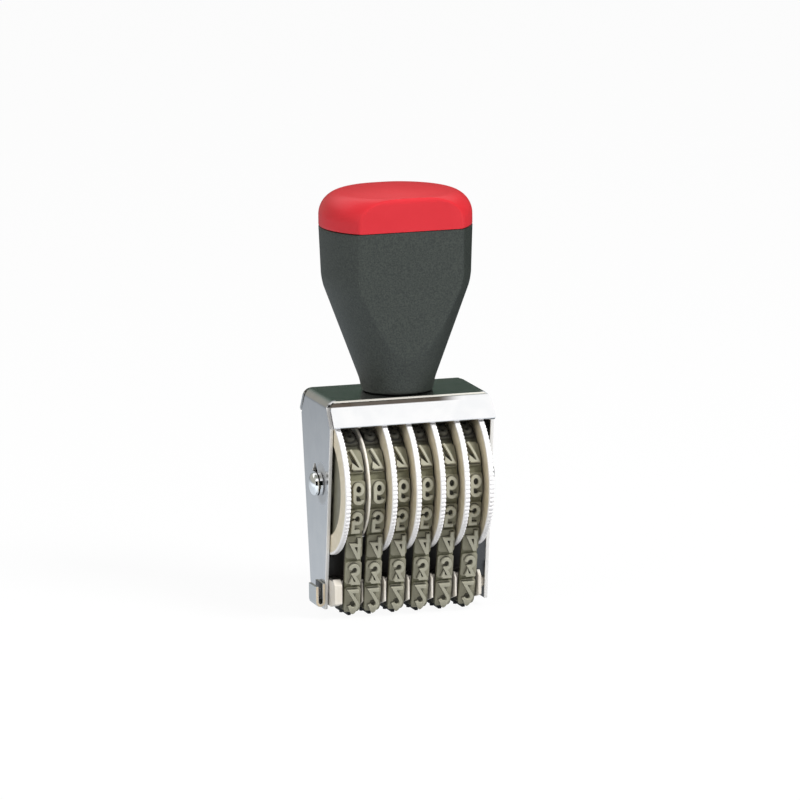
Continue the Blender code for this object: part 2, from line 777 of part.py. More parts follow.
def make_handle():
    """The grip: a hollow moulded body with a solid neck, open at the top, and a cap whose spigot
    pushes into it. Both are turned shapes with a flat front and back."""
    place = (0, centre_shift, handle_foot)
    body = turned(
        "handle_body",
        solid_profile(handle_profile(0.0, 0.0, grip_height)),
        False,
        handle_sides,
        dark_plastic,
        place,
    )
    slab = handle_slab("handle_flats", 0.0)
    room_profile = handle_profile(handle_wall, boss_height, grip_height + overrun)
    room = turned(
        "handle_room", solid_profile(room_profile), False, handle_sides, dark_plastic, place, "Z", cutters
    )
    room_slab = handle_slab("handle_room_flats", handle_wall)
    combine(room, "INTERSECT", [room_slab])
    bore = handle_screw_radius + seat_gap
    depth = handle_screw_bite + handle_screw_tip_gap
    profile = [(0, depth), (bore, depth), (bore, -overrun), (0, -overrun)]
    hole = turned("handle_bore", profile, False, small_sides, dark_plastic, place, "Z", cutters)
    combine(body, "INTERSECT", [slab])
    combine(body, "DIFFERENCE", [room, hole])

    cap_low = grip_height + seat_gap
    cap = turned(
        "handle_cap",
        solid_profile(handle_profile(0.0, cap_low, handle_height + overrun)),
        False,
        handle_sides,
        red_plastic,
        place,
    )
    spigot_inset = handle_wall + seat_gap
    spigot_profile = handle_profile(spigot_inset, grip_height - spigot_height, grip_height + overrun)
    spigot = turned(
        "cap_spigot", solid_profile(spigot_profile), False, handle_sides, red_plastic, place, "Z", cutters
    )
    combine(spigot, "INTERSECT", [handle_slab("cap_spigot_flats", spigot_inset)])
    hollow_inset = spigot_inset + spigot_wall
    hollow_low = grip_height - spigot_height - overrun
    hollow_profile = handle_profile(hollow_inset, hollow_low, handle_height - handle_wall)
    hollow = turned(
        "cap_hollow", solid_profile(hollow_profile), False, handle_sides, red_plastic, place, "Z", cutters
    )
    combine(hollow, "INTERSECT", [handle_slab("cap_hollow_flats", hollow_inset)])
    combine(cap, "INTERSECT", [slab])
    combine(cap, "UNION", [spigot])
    combine(cap, "DIFFERENCE", [hollow])


def make_handle_screw():
    """The screw that goes up through the roof into the neck, over a flat washer."""
    under = roof_height - sheet - seat_gap
    washer_low = under - washer_thickness
    profile = [(washer_radius, under), (washer_radius, washer_low), (washer_bore, washer_low)]
    profile.append((washer_bore, under))
    turned("handle_washer", profile, True, small_sides, steel, (0, centre_shift, 0))
    seat = washer_low - seat_gap
    tip = handle_foot + handle_screw_bite
    base = seat - handle_screw_head_height
    profile = [(0, tip), (handle_screw_radius, tip), (handle_screw_radius, seat)]
    profile += [(handle_screw_head, seat), (handle_screw_head, base + screw_head_round)]
    profile += [(handle_screw_head - screw_head_round, base), (0, base)]
    screw = turned("handle_screw", profile, False, small_sides, steel, (0, centre_shift, 0))
    half, reach = screw_slot_width / 2, handle_screw_head + overrun
    slot = box(
        "handle_screw_slot",
        (-reach, centre_shift - half, base - overrun),
        (reach, centre_shift + half, base + screw_slot_depth),
        steel,
        cutters,
    )
    combine(screw, "DIFFERENCE", [slot])


make_frame()
make_axle()
make_axle_screw("axle_screw_left", -1, screw_neck)
make_axle_screw("axle_screw_right", 1, 0)
make_wheels()
make_separator()
make_bands()
make_bridge()
make_clip()
make_handle()
make_handle_screw()

# The left screw stands out farther than the right one, by its neck. The whole stamp is moved along
# the axle by half of that, so that the middle of its box lies at x = 0.
for part in bpy.data.objects:
    part.location.x += screw_neck / 2
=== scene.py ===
# Band numbering stamp: a nickel-plated sheet frame holds six thumb wheels on one axle. Each wheel
# carries a rubber band of figures down and round a moulded bar. A grip with a red cap stands on the
# roof. Metres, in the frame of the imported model: X along the axle, -Y the thumb wheels' side, Z up.
import math

import bmesh
import bpy
from mathutils import Matrix, Vector


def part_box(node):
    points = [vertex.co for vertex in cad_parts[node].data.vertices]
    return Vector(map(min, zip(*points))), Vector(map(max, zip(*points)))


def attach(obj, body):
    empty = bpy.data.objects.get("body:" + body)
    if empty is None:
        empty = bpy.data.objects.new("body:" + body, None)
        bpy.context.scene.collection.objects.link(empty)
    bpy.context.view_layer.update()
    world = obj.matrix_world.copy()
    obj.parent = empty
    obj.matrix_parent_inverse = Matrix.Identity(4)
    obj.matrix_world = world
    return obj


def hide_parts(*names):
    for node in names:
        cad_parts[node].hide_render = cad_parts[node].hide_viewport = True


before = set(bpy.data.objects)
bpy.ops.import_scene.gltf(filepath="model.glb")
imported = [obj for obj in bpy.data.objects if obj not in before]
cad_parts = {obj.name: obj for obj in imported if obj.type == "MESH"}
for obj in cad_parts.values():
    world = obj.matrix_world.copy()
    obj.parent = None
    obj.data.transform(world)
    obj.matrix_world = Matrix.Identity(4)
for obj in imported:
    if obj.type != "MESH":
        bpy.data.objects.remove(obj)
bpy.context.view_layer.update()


# Frame: one blank of 0.8 mm mild steel, pierced, folded into a roof with two side plates and two
# leaning aprons, tumbled so that its cut edges are slightly round, and nickel-plated. Along each fold
# a light crest line is a painted highlight and the band under it a painted dark brown reflection; the
# side plates' cut edges are painted light as a highlight, the front apron's cut ends are painted dark
# brown, and the inner faces are painted near black as shade. The nuts have scuffed a ring on each plate.
merge_gap = 0.000001
flat_angle = math.radians(1.0)
crease_angle = math.radians(32)
sheet_edge_round = 0.00014
sheet = 0.0008
window_reach = 0.0060
corner_reach = 0.0042
plate_colour = (0.62, 0.62, 0.61)
plate_roughness = 0.15
apron_fold = 0.0010
fold_start = 0.00905
bend_soft = 0.0002
crest_drop = (0.00022, 0.00034)
fold_dark_end = (0.00105, 0.00125)
fold_dark_fade = (0.0065, 0.0125)
scuff_ring = (0.0036, 0.0052)


class Signal:
    """A socket in a finish's node tree. An expression on signals adds the Math nodes that work it out."""

    def __init__(self, finish, socket):
        self.finish = finish
        self.socket = socket

    def math(self, operation, *terms):
        return self.finish.add("ShaderNodeMath", {"operation": operation}, dict(enumerate(terms)))

    def __add__(self, other):
        return self.math("ADD", self, other)

    def __radd__(self, other):
        return self.math("ADD", other, self)

    def __sub__(self, other):
        return self.math("SUBTRACT", self, other)

    def __rsub__(self, other):
        return self.math("SUBTRACT", other, self)

    def __mul__(self, other):
        return self.math("MULTIPLY", self, other)

    def __rmul__(self, other):
        return self.math("MULTIPLY", other, self)

    def __pow__(self, other):
        return self.math("POWER", self, other)


class Finish:
    """One finish of the object: a material whose steady values sit on its shader's own sockets."""

    def __init__(self, name, colour, roughness, **steady):
        self.material = bpy.data.materials.new(name)
        self.material.use_nodes = True
        self.tree = self.material.node_tree
        self.shader = self.tree.nodes["Principled BSDF"]
        self.feed("Base Color", (*colour, 1.0))
        self.feed("Roughness", roughness)
        for socket, value in steady.items():
            self.feed(socket.replace("_", " ").title().replace("Ior", "IOR"), value)

    def add(self, kind, settings, sockets, out=0):
        """Adds a node: its settings first, then the values or signals of its sockets."""
        node = self.tree.nodes.new(kind)
        for name, value in settings.items():
            if name == "stops":
                ramp = node.color_ramp
                for stop, (place, shade) in enumerate(value):
                    knot = ramp.elements[stop] if stop < 2 else ramp.elements.new(place)
                    knot.position = place
                    knot.color = (shade, shade, shade, 1.0)
            else:
                setattr(node, name, value)
        for name, value in sockets.items():
            self.join(node.inputs[name], value)
        return Signal(self, node.outputs[out])

    def join(self, socket, value):
        if isinstance(value, Signal):
            self.tree.links.new(value.socket, socket)
        else:
            socket.default_value = value

    def feed(self, socket, value):
        self.join(self.shader.inputs[socket], value)

    def noise(self, size, detail=2.0, roughness=0.5, stretch=(1.0, 1.0, 1.0)):
        """Noise whose lumps are about this size, in metres, drawn out along an axis by its stretch."""
        where = self.add("ShaderNodeTexCoord", {}, {}, "Object")
        scale = tuple(1.0 / pull for pull in stretch)
        place = self.add("ShaderNodeMapping", {}, {"Vector": where, "Scale": scale})
        sockets = {"Vector": place, "Scale": 1.0 / size, "Detail": detail, "Roughness": roughness}
        return self.add("ShaderNodeTexNoise", {}, sockets)

    def band_of(self, signal, low, high):
        """0 where a signal is under low, 1 where it is over high, and a ramp between."""
        return self.add("ShaderNodeMapRange", {"interpolation_type": "SMOOTHSTEP"},
                        {"Value": signal, "From Min": low, "From Max": high})

    def tint(self, mask, first, second):
        """Goes from the first colour to the second with a mask. Either may be a signal."""
        colours = [c if isinstance(c, Signal) else (*c, 1.0) for c in (first, second)]
        return self.add("ShaderNodeMix", {"data_type": "RGBA"}, {0: mask, 6: colours[0], 7: colours[1]}, 2)

    def parted(self, kind, value):
        """The three signals that a separating node makes of a colour or a place."""
        parts = self.add(kind, {}, {0: value})
        return [Signal(self, parts.socket.node.outputs[i]) for i in range(3)]

    def painted(self, name):
        """The red, green and blue of a colour that is kept on the mesh, as signals."""
        whole = self.add("ShaderNodeAttribute", {"attribute_name": name}, {}, "Color")
        return self.parted("ShaderNodeSeparateColor", whole)

    def place(self):
        """The place on the object, as signals for x, y and z."""
        return self.parted("ShaderNodeSeparateXYZ", self.add("ShaderNodeTexCoord", {}, {}, "Object"))

    def distance_from_line(self, y, z):
        """The distance from a line along X through y and z."""
        _, at_y, at_z = self.place()
        return ((at_y - y) * (at_y - y) + (at_z - z) * (at_z - z)) ** 0.5

    def relief(self, height, depth):
        """Feeds the shader's normal with a bump of this depth in metres."""
        sockets = {"Height": height, "Distance": depth}
        self.feed("Normal", self.add("ShaderNodeBump", {}, sockets))


def merged_copy(node):
    """A CAD node's shape with its loose triangles welded and its flat faces made whole again."""
    shape = bmesh.new()
    shape.from_mesh(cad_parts[node].data)
    bmesh.ops.remove_doubles(shape, verts=shape.verts, dist=merge_gap)
    bmesh.ops.dissolve_limit(shape, angle_limit=flat_angle, verts=shape.verts, edges=shape.edges)
    return shape


def bevelled(shape, edges, radius, segments=2):
    """Rounds these edges of a shape."""
    bmesh.ops.bevel(shape, geom=edges, offset=radius, offset_type="OFFSET", segments=segments,
                    profile=0.5, affect="EDGES", clamp_overlap=False, material=-1)
    return shape


def round_edges(shape, radius, choose=None):
    """Rounds all sharp edges of a shape, or those of them that a test picks."""
    edges = [e for e in shape.edges if len(e.link_faces) == 2 and e.calc_face_angle() > crease_angle]
    return bevelled(shape, [e for e in edges if not choose or choose(e)], radius)


def piece(name, shape, finish, body, nodes=(), even=False):
    """Makes an object of a finished shape, smooth between its creases, and files it with its body
    and the CAD nodes that it stands for."""
    mesh = bpy.data.meshes.new(name)
    shape.to_mesh(mesh)
    shape.free()
    mesh.shade_smooth()
    mesh.set_sharp_from_angle(angle=crease_angle)
    mesh.materials.append(finish.material)
    obj = bpy.data.objects.new(name, mesh)
    bpy.context.scene.collection.objects.link(obj)
    if even:
        shading = obj.modifiers.new("Even shading", "WEIGHTED_NORMAL")
        shading.keep_sharp = True
    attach(obj, body)
    if nodes:
        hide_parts(*nodes)
    return obj


sheet_low, sheet_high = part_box("frame")
sheet_middle = (sheet_low + sheet_high) / 2
wheel_low, wheel_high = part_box("wheel_3")
axle_y = (wheel_low.y + wheel_high.y) / 2
axle_z = (wheel_low.z + wheel_high.z) / 2


def away_from_corners(edge):
    """Not near a top corner, where the bend of a plate and the fold of an apron run into each other."""
    spot = (edge.verts[0].co + edge.verts[1].co) / 2
    near_end = abs(spot.x - sheet_middle.x) > sheet_high.x - sheet_middle.x - corner_reach
    near_top = spot.z > sheet_high.z - corner_reach
    return not (near_end and near_top and abs(spot.y - sheet_middle.y) > 2 * corner_reach * 0.9)


def marked(shape, name, *tests):
    """Keeps on the mesh, as red, green and blue, which faces each test picks."""
    layer = shape.loops.layers.float_color.new(name)
    for face in shape.faces:
        found = [float(test(face)) for test in tests] + [0.0] * (3 - len(tests))
        for loop in face.loops:
            loop[layer] = (*found, 1.0)
    return shape


def plate_cut(face):
    """The front and back cut edges of the side plates, painted light as a highlight."""
    spot = face.calc_center_median()
    at_end = abs(spot.x - sheet_middle.x) > sheet_high.x - sheet_middle.x - sheet
    by_window = math.hypot(spot.y - axle_y, spot.z - axle_z) < window_reach
    return at_end and not by_window and abs(face.normal.y) > 0.3


def apron_cut(face):
    """The cut ends of the front apron, painted dark brown."""
    spot = face.calc_center_median()
    away = sheet_middle.y - spot.y > (sheet_high.y - sheet_low.y) / 2 - 2.6 * apron_fold
    return away and abs(face.normal.x) > 0.95 and spot.z > sheet_high.z - corner_reach * 2


def plate_inside(face):
    """The side plates' inner faces and the walls of their windows, painted near black as shade."""
    spot = face.calc_center_median()
    inwards = sheet_middle.x - spot.x
    on_side = abs(inwards) > sheet_high.x - sheet_middle.x - 2 * sheet
    by_window = math.hypot(spot.y - axle_y, spot.z - axle_z) < window_reach
    wall = by_window and abs(face.normal.x) < 0.5
    return on_side and (wall or face.normal.x * inwards > 0.9 * abs(inwards))


nickel = Finish("nickel_plate", plate_colour, plate_roughness, metallic=1.0)
haze = nickel.noise(0.004, 3.0)
rolling = nickel.noise(0.00025, 2.0, stretch=(1.0, 1.0, 14.0))
# The three marks on the sheet: the side plates' cut edges, painted light as a highlight; the front apron's cut
# ends, painted dark brown; the inner faces and window walls, painted near black as shade.
cut_highlight, apron_end_dark, inside = nickel.painted("cut")
at_x, at_y, at_z = nickel.place()
off_middle = at_y - sheet_middle.y
past_bend = nickel.band_of(off_middle.math("ABSOLUTE", off_middle) - fold_start, 0.0, bend_soft)
under_top = sheet_high.z - at_z
lower = nickel.band_of(under_top, *crest_drop)
# Painted highlight: a light line along the crest of each fold. Painted reflection: a dark brown band under it,
# fading out towards the right.
crest = past_bend * (1.0 - lower)
in_fold = past_bend * lower * (1.0 - nickel.band_of(under_top, *fold_dark_end))
in_fold = in_fold * (1.0 - nickel.band_of(at_x, *fold_dark_fade))
clean = nickel.tint(nickel.band_of(haze, 0.3, 0.7), (0.60, 0.60, 0.61), (0.64, 0.635, 0.64))
with_fold_reflection = nickel.tint(in_fold * (0.88 + 0.12 * haze), clean, (0.045, 0.032, 0.020))
edged = nickel.tint(apron_end_dark, nickel.tint(crest, with_fold_reflection, (0.80, 0.77, 0.70)), (0.075, 0.048, 0.036))
inner_shade = nickel.tint(inside, edged, (0.035, 0.034, 0.030))
nickel.feed("Base Color", nickel.tint(cut_highlight, inner_shade, (0.80, 0.79, 0.77)))
nickel.feed("Metallic", 1.0 - 0.8 * cut_highlight - 0.8 * apron_end_dark - 0.7 * crest - 0.6 * inside)
scuffed = 1.0 - nickel.band_of(nickel.distance_from_line(axle_y, axle_z), *scuff_ring)
uneven = 0.05 * haze + 0.03 * rolling
nickel.feed("Roughness", plate_roughness + uneven + 0.3 * cut_highlight + 0.45 * scuffed * (1.0 - inside))
nickel.relief(rolling, 0.0000015)
sheet_shape = round_edges(merged_copy("frame"), sheet_edge_round, choose=away_from_corners)
marked(sheet_shape, "cut", plate_cut, apron_cut, plate_inside)
piece("frame_sheet", sheet_shape, nickel, "stamp", ["frame"], even=True)


# Axle: a turned steel spindle between the plates with a plain collar beyond the last wheel. Outside
# each plate is a round nut: a collar, a groove and a domed cap, with notches for a forked key. The
# left one stands out further than the right one.
nut_radius = 0.00255
nut_height = 0.00275
nut_gap = 0.00015
nut_neck = 0.0017
low_nut_share = 0.7
nut_foot = 0.00030
collar_end = 0.00094
cap_start = 0.00125
dome_start = 0.00168
groove_radius = 0.0021
cap_radius = 0.0025
nut_steps = 96
notch_half = 0.00050
notch_inner = 0.00175
notch_turn = math.radians(-14)
notches = ((0.00034, 0.00100), (0.00154, 0.00200))


def turned(profile, steps, centre, axis):
    """A closed profile of (radius, place) points spun about an axis, X or Z, through a centre."""
    shape = bmesh.new()
    if axis == "X":
        spots = [centre + Vector((place, -radius, 0.0)) for radius, place in profile]
        along = (1.0, 0.0, 0.0)
    else:
        spots = [centre + Vector((0.0, -radius, place)) for radius, place in profile]
        along = (0.0, 0.0, 1.0)
    verts = [shape.verts.new(spot) for spot in spots]
    edges = [shape.edges.new(pair) for pair in zip(verts, verts[1:])]
    if profile[0][0] > 0:
        edges.append(shape.edges.new((verts[-1], verts[0])))
    bmesh.ops.spin(shape, geom=verts + edges, cent=centre, axis=along, angle=2 * math.pi, steps=steps,
                   use_merge=True)
    bmesh.ops.remove_doubles(shape, verts=shape.verts, dist=merge_gap)
    bmesh.ops.recalc_face_normals(shape, faces=shape.faces)
    return shape


def block(low, high):
    """A closed box between two corners."""
    shape = bmesh.new()
    bmesh.ops.create_cube(shape, size=1.0)
    low, high = Vector(low), Vector(high)
    bmesh.ops.scale(shape, vec=high - low, verts=shape.verts)
    bmesh.ops.translate(shape, vec=(low + high) / 2, verts=shape.verts)
    return shape


def combined(shape, operation, other):
    """One shape from two closed ones: their union, or the first less the second."""
    pair = []
    for part in (shape, other):
        mesh = bpy.data.meshes.new("step")
        part.to_mesh(mesh)
        part.free()
        pair.append(bpy.data.objects.new("step", mesh))
        bpy.context.scene.collection.objects.link(pair[-1])
    step = pair[0].modifiers.new("Step", "BOOLEAN")
    step.operation = operation
    step.object = pair[1]
    step.solver = "EXACT"
    result = bmesh.new()
    result.from_object(pair[0], bpy.context.evaluated_depsgraph_get())
    for obj in pair:
        mesh = obj.data
        bpy.data.objects.remove(obj)
        bpy.data.meshes.remove(mesh)
    return result


steel = Finish("turned_steel", (0.60, 0.62, 0.63), 0.16, metallic=1.0)
steel.feed("Roughness", 0.14 + 0.10 * steel.noise(0.0012, 3.0))
steel.relief(steel.noise(0.00012, 2.0, stretch=(0.4, 3.0, 3.0)), 0.000003)
for node in ("axle", "axle_collar"):
    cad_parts[node].material_slots[0].material = steel.material

bright = Finish("bright_steel", (0.90, 0.91, 0.92), 0.16, metallic=1.0)
recess, _, _ = bright.painted("recess")
# The groove and the notches are painted near black: painted shade.
bright.feed("Base Color", bright.tint(recess, (0.90, 0.91, 0.92), (0.010, 0.013, 0.012)))
bright.feed("Roughness", 0.12 + 0.08 * bright.noise(0.0012, 3.0) + 0.5 * recess)
bright.relief(bright.noise(0.00012, 2.0, stretch=(0.4, 3.0, 3.0)), 0.000002)


def axle_nut(face, sign, share):
    """A round nut outside a side plate, its heights drawn in by a share."""
    profile = [(0.0, nut_gap), (nut_neck, nut_gap), (nut_neck, nut_foot), (nut_radius, nut_foot)]
    profile += [(nut_radius, collar_end), (groove_radius, collar_end), (groove_radius, cap_start)]
    profile += [(cap_radius, cap_start)]
    profile += [(cap_radius * math.cos(math.radians(a)),
                 dome_start + (nut_height - dome_start) * math.sin(math.radians(a)))
                for a in (0, 12, 24, 36, 48, 60, 72, 82)]
    profile += [(0.0, nut_height)]
    centre = Vector((face, axle_y, axle_z))
    nut = turned([(r, sign * share * x) for r, x in profile], nut_steps, centre, "X")
    for near, far in notches:
        x_low, x_high = sorted((face + sign * share * near, face + sign * share * far))
        for side in (-1, 1):
            y_low, y_high = sorted((axle_y + side * notch_inner, axle_y + side * 2 * nut_radius))
            notch = block((x_low, y_low, axle_z - notch_half), (x_high, y_high, axle_z + notch_half))
            leaning = Matrix.Rotation(notch_turn, 3, "X")
            bmesh.ops.rotate(notch, cent=centre, matrix=leaning, verts=notch.verts)
            nut = combined(nut, "DIFFERENCE", notch)

    def in_recess(skin):
        """The groove and the notches, painted near black as shade."""
        spot = skin.calc_center_median() - centre
        height = spot.x * sign / share
        on_side = math.hypot(spot.y, spot.z) > cap_radius * 0.97 and abs(skin.normal.x) < 0.5
        on_dome = height > dome_start - merge_gap and skin.normal.x * sign > 0.15
        return height > nut_foot + merge_gap and not (on_side or on_dome)

    return marked(nut, "recess", in_recess)


for name, sign, face, share in (("left", -1, sheet_low.x, 1.0), ("right", 1, sheet_high.x, low_nut_share)):
    nut = axle_nut(face, sign, share)
    piece(f"axle_nut_{name}", nut, bright, "stamp", [f"axle_screw_{name}"], even=True)


# Thumb wheels: ivory mouldings with a toothed flange for the thumb beside a plain drum that grips
# the band. Each turns by itself on the axle; a shallow dish lightens its outer face.
tooth_count = 100
tooth_samples = 8
tooth_depth = 0.00052
tooth_sharpness = 1.3
tooth_fade = 1.7
tooth_stagger = 0.31
flange_width = 0.0012
rim_chamfer = 0.00016
drum_radius = 0.0102
hub_radius = 0.0036
dish_radius = 0.0112
dish_depth = 0.00055
dish_flank = 0.0003
drum_chamfer = 0.00012
wheel_bore = 0.0021
rim_white = (0.00075, 0.0003)
dish_soft = 0.0004
wheel_radius = (wheel_high.z - wheel_low.z) / 2

ivory = Finish("ivory_plastic", (0.80, 0.77, 0.70), 0.38, specular_ior_level=0.5)
mottle = ivory.noise(0.0016, 3.0)
from_axle = ivory.distance_from_line(axle_y, axle_z)
cloudy = ivory.band_of(mottle, 0.3, 0.7)
# The rim is white. The flank inside it is painted darker and warmer: painted shade with some yellowing.
new_white = ivory.tint(cloudy, (0.84, 0.83, 0.83), (0.88, 0.87, 0.88))
shaded_yellow_flank = ivory.tint(cloudy, (0.62, 0.55, 0.40), (0.69, 0.62, 0.48))
# Inside the dish radius the wheel is painted dark as shade.
dish_shade = ivory.tint(mottle, (0.13, 0.125, 0.09), (0.24, 0.23, 0.17))
on_rim = ivory.band_of(from_axle, wheel_radius - rim_white[0], wheel_radius - rim_white[1])
past_dish = ivory.band_of(from_axle, dish_radius - dish_soft, dish_radius + dish_soft)
ivory.feed("Base Color", ivory.tint(past_dish, dish_shade, ivory.tint(on_rim, shaded_yellow_flank, new_white)))
ivory.feed("Roughness", 0.34 + 0.10 * ivory.noise(0.0007, 2.0))
ivory.relief(ivory.noise(0.0003, 2.0), 0.000006)


def tooth_drop(phase):
    """How far the rim lies under its full radius: most in the notch between two teeth, 0 on a crest."""
    return tooth_depth * (1.0 - abs(math.sin(math.pi * phase))) ** tooth_sharpness


for number in range(1, 7):
    low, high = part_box(f"wheel_{number}")
    reach = high.x - low.x
    profile = [
        (wheel_bore, 0.0),
        (hub_radius, 0.0),
        (hub_radius + dish_flank, dish_depth),
        (dish_radius, dish_depth),
        (dish_radius + dish_flank, 0.0),
        (wheel_radius - rim_chamfer, 0.0),
        (wheel_radius, rim_chamfer),
        (wheel_radius, flange_width - rim_chamfer),
        (wheel_radius - rim_chamfer, flange_width),
        (drum_radius, flange_width),
        (drum_radius, reach - drum_chamfer),
        (drum_radius - drum_chamfer, reach),
        (wheel_bore, reach),
    ]
    if number == 1:
        profile = [(r, low.x + d) for r, d in profile]
    else:
        profile = [(r, high.x - d) for r, d in profile]
    shape = turned(profile, tooth_count * tooth_samples, Vector((0.0, axle_y, axle_z)), "X")
    for vert in shape.verts:
        y, z = vert.co.y - axle_y, vert.co.z - axle_z
        radius = math.hypot(y, z)
        if radius > wheel_radius - 2 * rim_chamfer:
            turn = math.atan2(z, -y) / (2 * math.pi) * tooth_count
            share = (low.x + flange_width if number == 1 else high.x) - vert.co.x
            fade = max(0.0, 1.0 - tooth_fade * share / flange_width)
            pull = (radius - tooth_drop(turn + tooth_stagger * number) * fade) / radius
            vert.co.y = axle_y + y * pull
            vert.co.z = axle_z + z * pull
    body = f"wheel_{number}"
    piece(f"thumb_{body}", shape, ivory, body, [body])


# Separator: a thin ivory washer on the axle that keeps the first two wheels from dragging on each
# other, turned to a smooth round edge.
disc_steps = 160
disc_edge = 0.00012
low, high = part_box("separator_disc")
disc_radius = (high.z - low.z) / 2
profile = [
    (wheel_bore, low.x),
    (disc_radius - disc_edge, low.x),
    (disc_radius, low.x + disc_edge),
    (disc_radius, high.x - disc_edge),
    (disc_radius - disc_edge, high.x),
    (wheel_bore, high.x),
]
pale = Finish("pale_plastic", (0.80, 0.77, 0.70), 0.36)
cloudy = pale.band_of(pale.noise(0.0016, 3.0), 0.3, 0.7)
pale.feed("Base Color", pale.tint(cloudy, (0.74, 0.69, 0.60), (0.82, 0.79, 0.73)))
disc = turned(profile, disc_steps, Vector((0.0, axle_y, axle_z)), "X")
piece("separator_washer", disc, pale, "stamp", ["separator_disc"])


# Bridge: a cream moulded bar that the bands run over, with a block at its left end, a fin beside
# each band, a web with small tabs between their two runs, and a tenon in each side plate. Its top
# behind the block, its web and its tabs are painted near black; on the tabs that is painted shade.
bridge_round = 0.00014
band_width = 0.0037
tab_half = 0.0003
tab_gap = 0.00005
tab_foot = 0.0130
tab_under_wheel = 0.0146
tab_beside_disc = 0.0186
tab_under_drum = 0.0170
tab_flange_gap = 0.0015
dark_top_height = (0.0083, 0.0086)
dark_top_front = (0.0047, 0.0044)
cream = Finish("cream_plastic", (0.72, 0.68, 0.62), 0.42)
flow = cream.noise(0.003, 3.0)
_, bar_y, bar_z = cream.place()
clean_cream = cream.tint(cream.band_of(flow, 0.3, 0.7), (0.66, 0.61, 0.53), (0.75, 0.715, 0.66))
# Above a height and behind the block the bar is painted near black.
far_back = cream.band_of(bar_y, axle_y - dark_top_front[0], axle_y - dark_top_front[1])
near_black = cream.band_of(bar_z, *dark_top_height) * far_back
cream.feed("Base Color", cream.tint(near_black, clean_cream, (0.018, 0.016, 0.013)))
cream.feed("Roughness", 0.38 + 0.12 * cream.noise(0.0009, 2.0))
cream.relief(cream.noise(0.00035, 2.0), 0.000008)
bar = round_edges(merged_copy("bridge"), bridge_round)
piece("bridge_bar", bar, cream, "stamp", ["bridge"], even=True)

# The tabs are near-black sheets between the bands' two runs: painted shade where the inside of the stamp is
# dark.
tabs = bmesh.new()
gaps = [(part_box(f"wheel_{n}")[1].x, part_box(f"band_{n + 1}")[0].x, tab_under_wheel) for n in range(2, 6)]
gaps.append((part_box("band_1")[0].x + band_width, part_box("separator_disc")[0].x, tab_beside_disc))
for n in range(2, 7):
    gaps.append((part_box(f"band_{n}")[0].x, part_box(f"wheel_{n}")[1].x - tab_flange_gap, tab_under_drum))
for left_face, right_face, tab_top in gaps:
    low = Vector((left_face + tab_gap, axle_y - tab_half, tab_foot))
    high = Vector((right_face - tab_gap, axle_y + tab_half, tab_top))
    where = Matrix.LocRotScale((low + high) / 2, None, high - low)
    bmesh.ops.create_cube(tabs, size=1.0, matrix=where)
piece("bridge_tabs", tabs, cream, "stamp")


# Type bands: moulded rubber loops on a woven cord. Each pad is a small raised table that carries one
# figure; the figures read 1 to 9 and 0 up the front, and the rest of the pads are blank. A band
# leaves its drum and is led sideways to its place between two fins. The printing pad is black with ink.
# Painted shade: the pads from the 8 on are painted dark, the side walls, the figures' hollows and their
# feet are painted dark, and the pads are painted darker towards the top.
pad_count = 15
band_thickness = 0.0019
loop_height = 0.00085
loop_width = 0.00364
loop_edge = 0.00012
pad_length = 0.0056
pad_top = 0.0015
pad_corner = 0.00075
pad_edge = 0.00018
pad_sink = 0.0001
figure_top = 0.00245
figure_sink = 0.00006
figure_draft = 0.00013
hollow_plate_rise = 0.00004
cord_depth = 0.0001
drum_gap = 0.0003
wrap_slope = math.radians(16.7)
bottom_corner = 0.0005
type_relief = 0.00055
band_phase = 0.0010
bend_step = 0.00042
figure_half_height = 0.00247
figure_half_width = 0.00125
stroke = 0.00066
thin_stroke = 0.00050
curve_steps = 14
weave_pitch = 0.00045
shade_rise = (0.011, 0.020)
shade_ragged = 0.004


class BandWay:
    """The closed way of a band's cord round its drum and under the bridge, measured from the middle
    of the flat under the bridge and running up the front."""

    def __init__(self):
        self.drum = drum_radius + drum_gap + cord_depth
        self.corner = bottom_corner + cord_depth
        self.floor = type_relief + band_thickness - cord_depth
        self.corner_z = self.floor + self.corner
        rise = axle_z - self.corner_z
        self.flat = (self.drum - self.corner) / math.cos(wrap_slope) - rise * math.tan(wrap_slope)
        straight = rise / math.cos(wrap_slope) - (self.drum - self.corner) * math.tan(wrap_slope)
        turn = math.pi / 2 - wrap_slope
        wrap = math.pi + 2 * wrap_slope
        self.lengths = [self.flat, self.corner * turn, straight, self.drum * wrap]
        self.length = 2 * sum(self.lengths[:3]) + self.lengths[3]

    def radius_at(self, distance):
        """The radius of the drum where the cord lies on it, or none on the other stretches."""
        start = sum(self.lengths[:3])
        s = distance % self.length
        return self.drum if start <= s <= start + self.lengths[3] else None

    def at(self, distance, height):
        """The point (y, z) so far along the cord and so high above the inner face."""
        s = distance % self.length
        out = height - cord_depth
        flat, corner, straight, drum = self.lengths
        if s > sum(self.lengths[:3]) + drum:
            y, z = self.at(self.length - s, height)
            return 2 * axle_y - y, z
        if s <= flat:
            return axle_y - s, self.floor - out
        s -= flat
        if s <= corner:
            angle = s / self.corner
            r = self.corner + out
            return axle_y - flat - r * math.sin(angle), self.corner_z - r * math.cos(angle)
        s -= corner
        if s <= straight:
            away = self.corner + out
            y = axle_y - flat - away * math.cos(wrap_slope) - s * math.sin(wrap_slope)
            return y, self.corner_z - away * math.sin(wrap_slope) + s * math.cos(wrap_slope)
        angle = (s - straight) / self.drum - wrap_slope
        r = self.drum + out
        return axle_y - r * math.cos(angle), axle_z + r * math.sin(angle)


way = BandWay()
pitch = way.length / pad_count


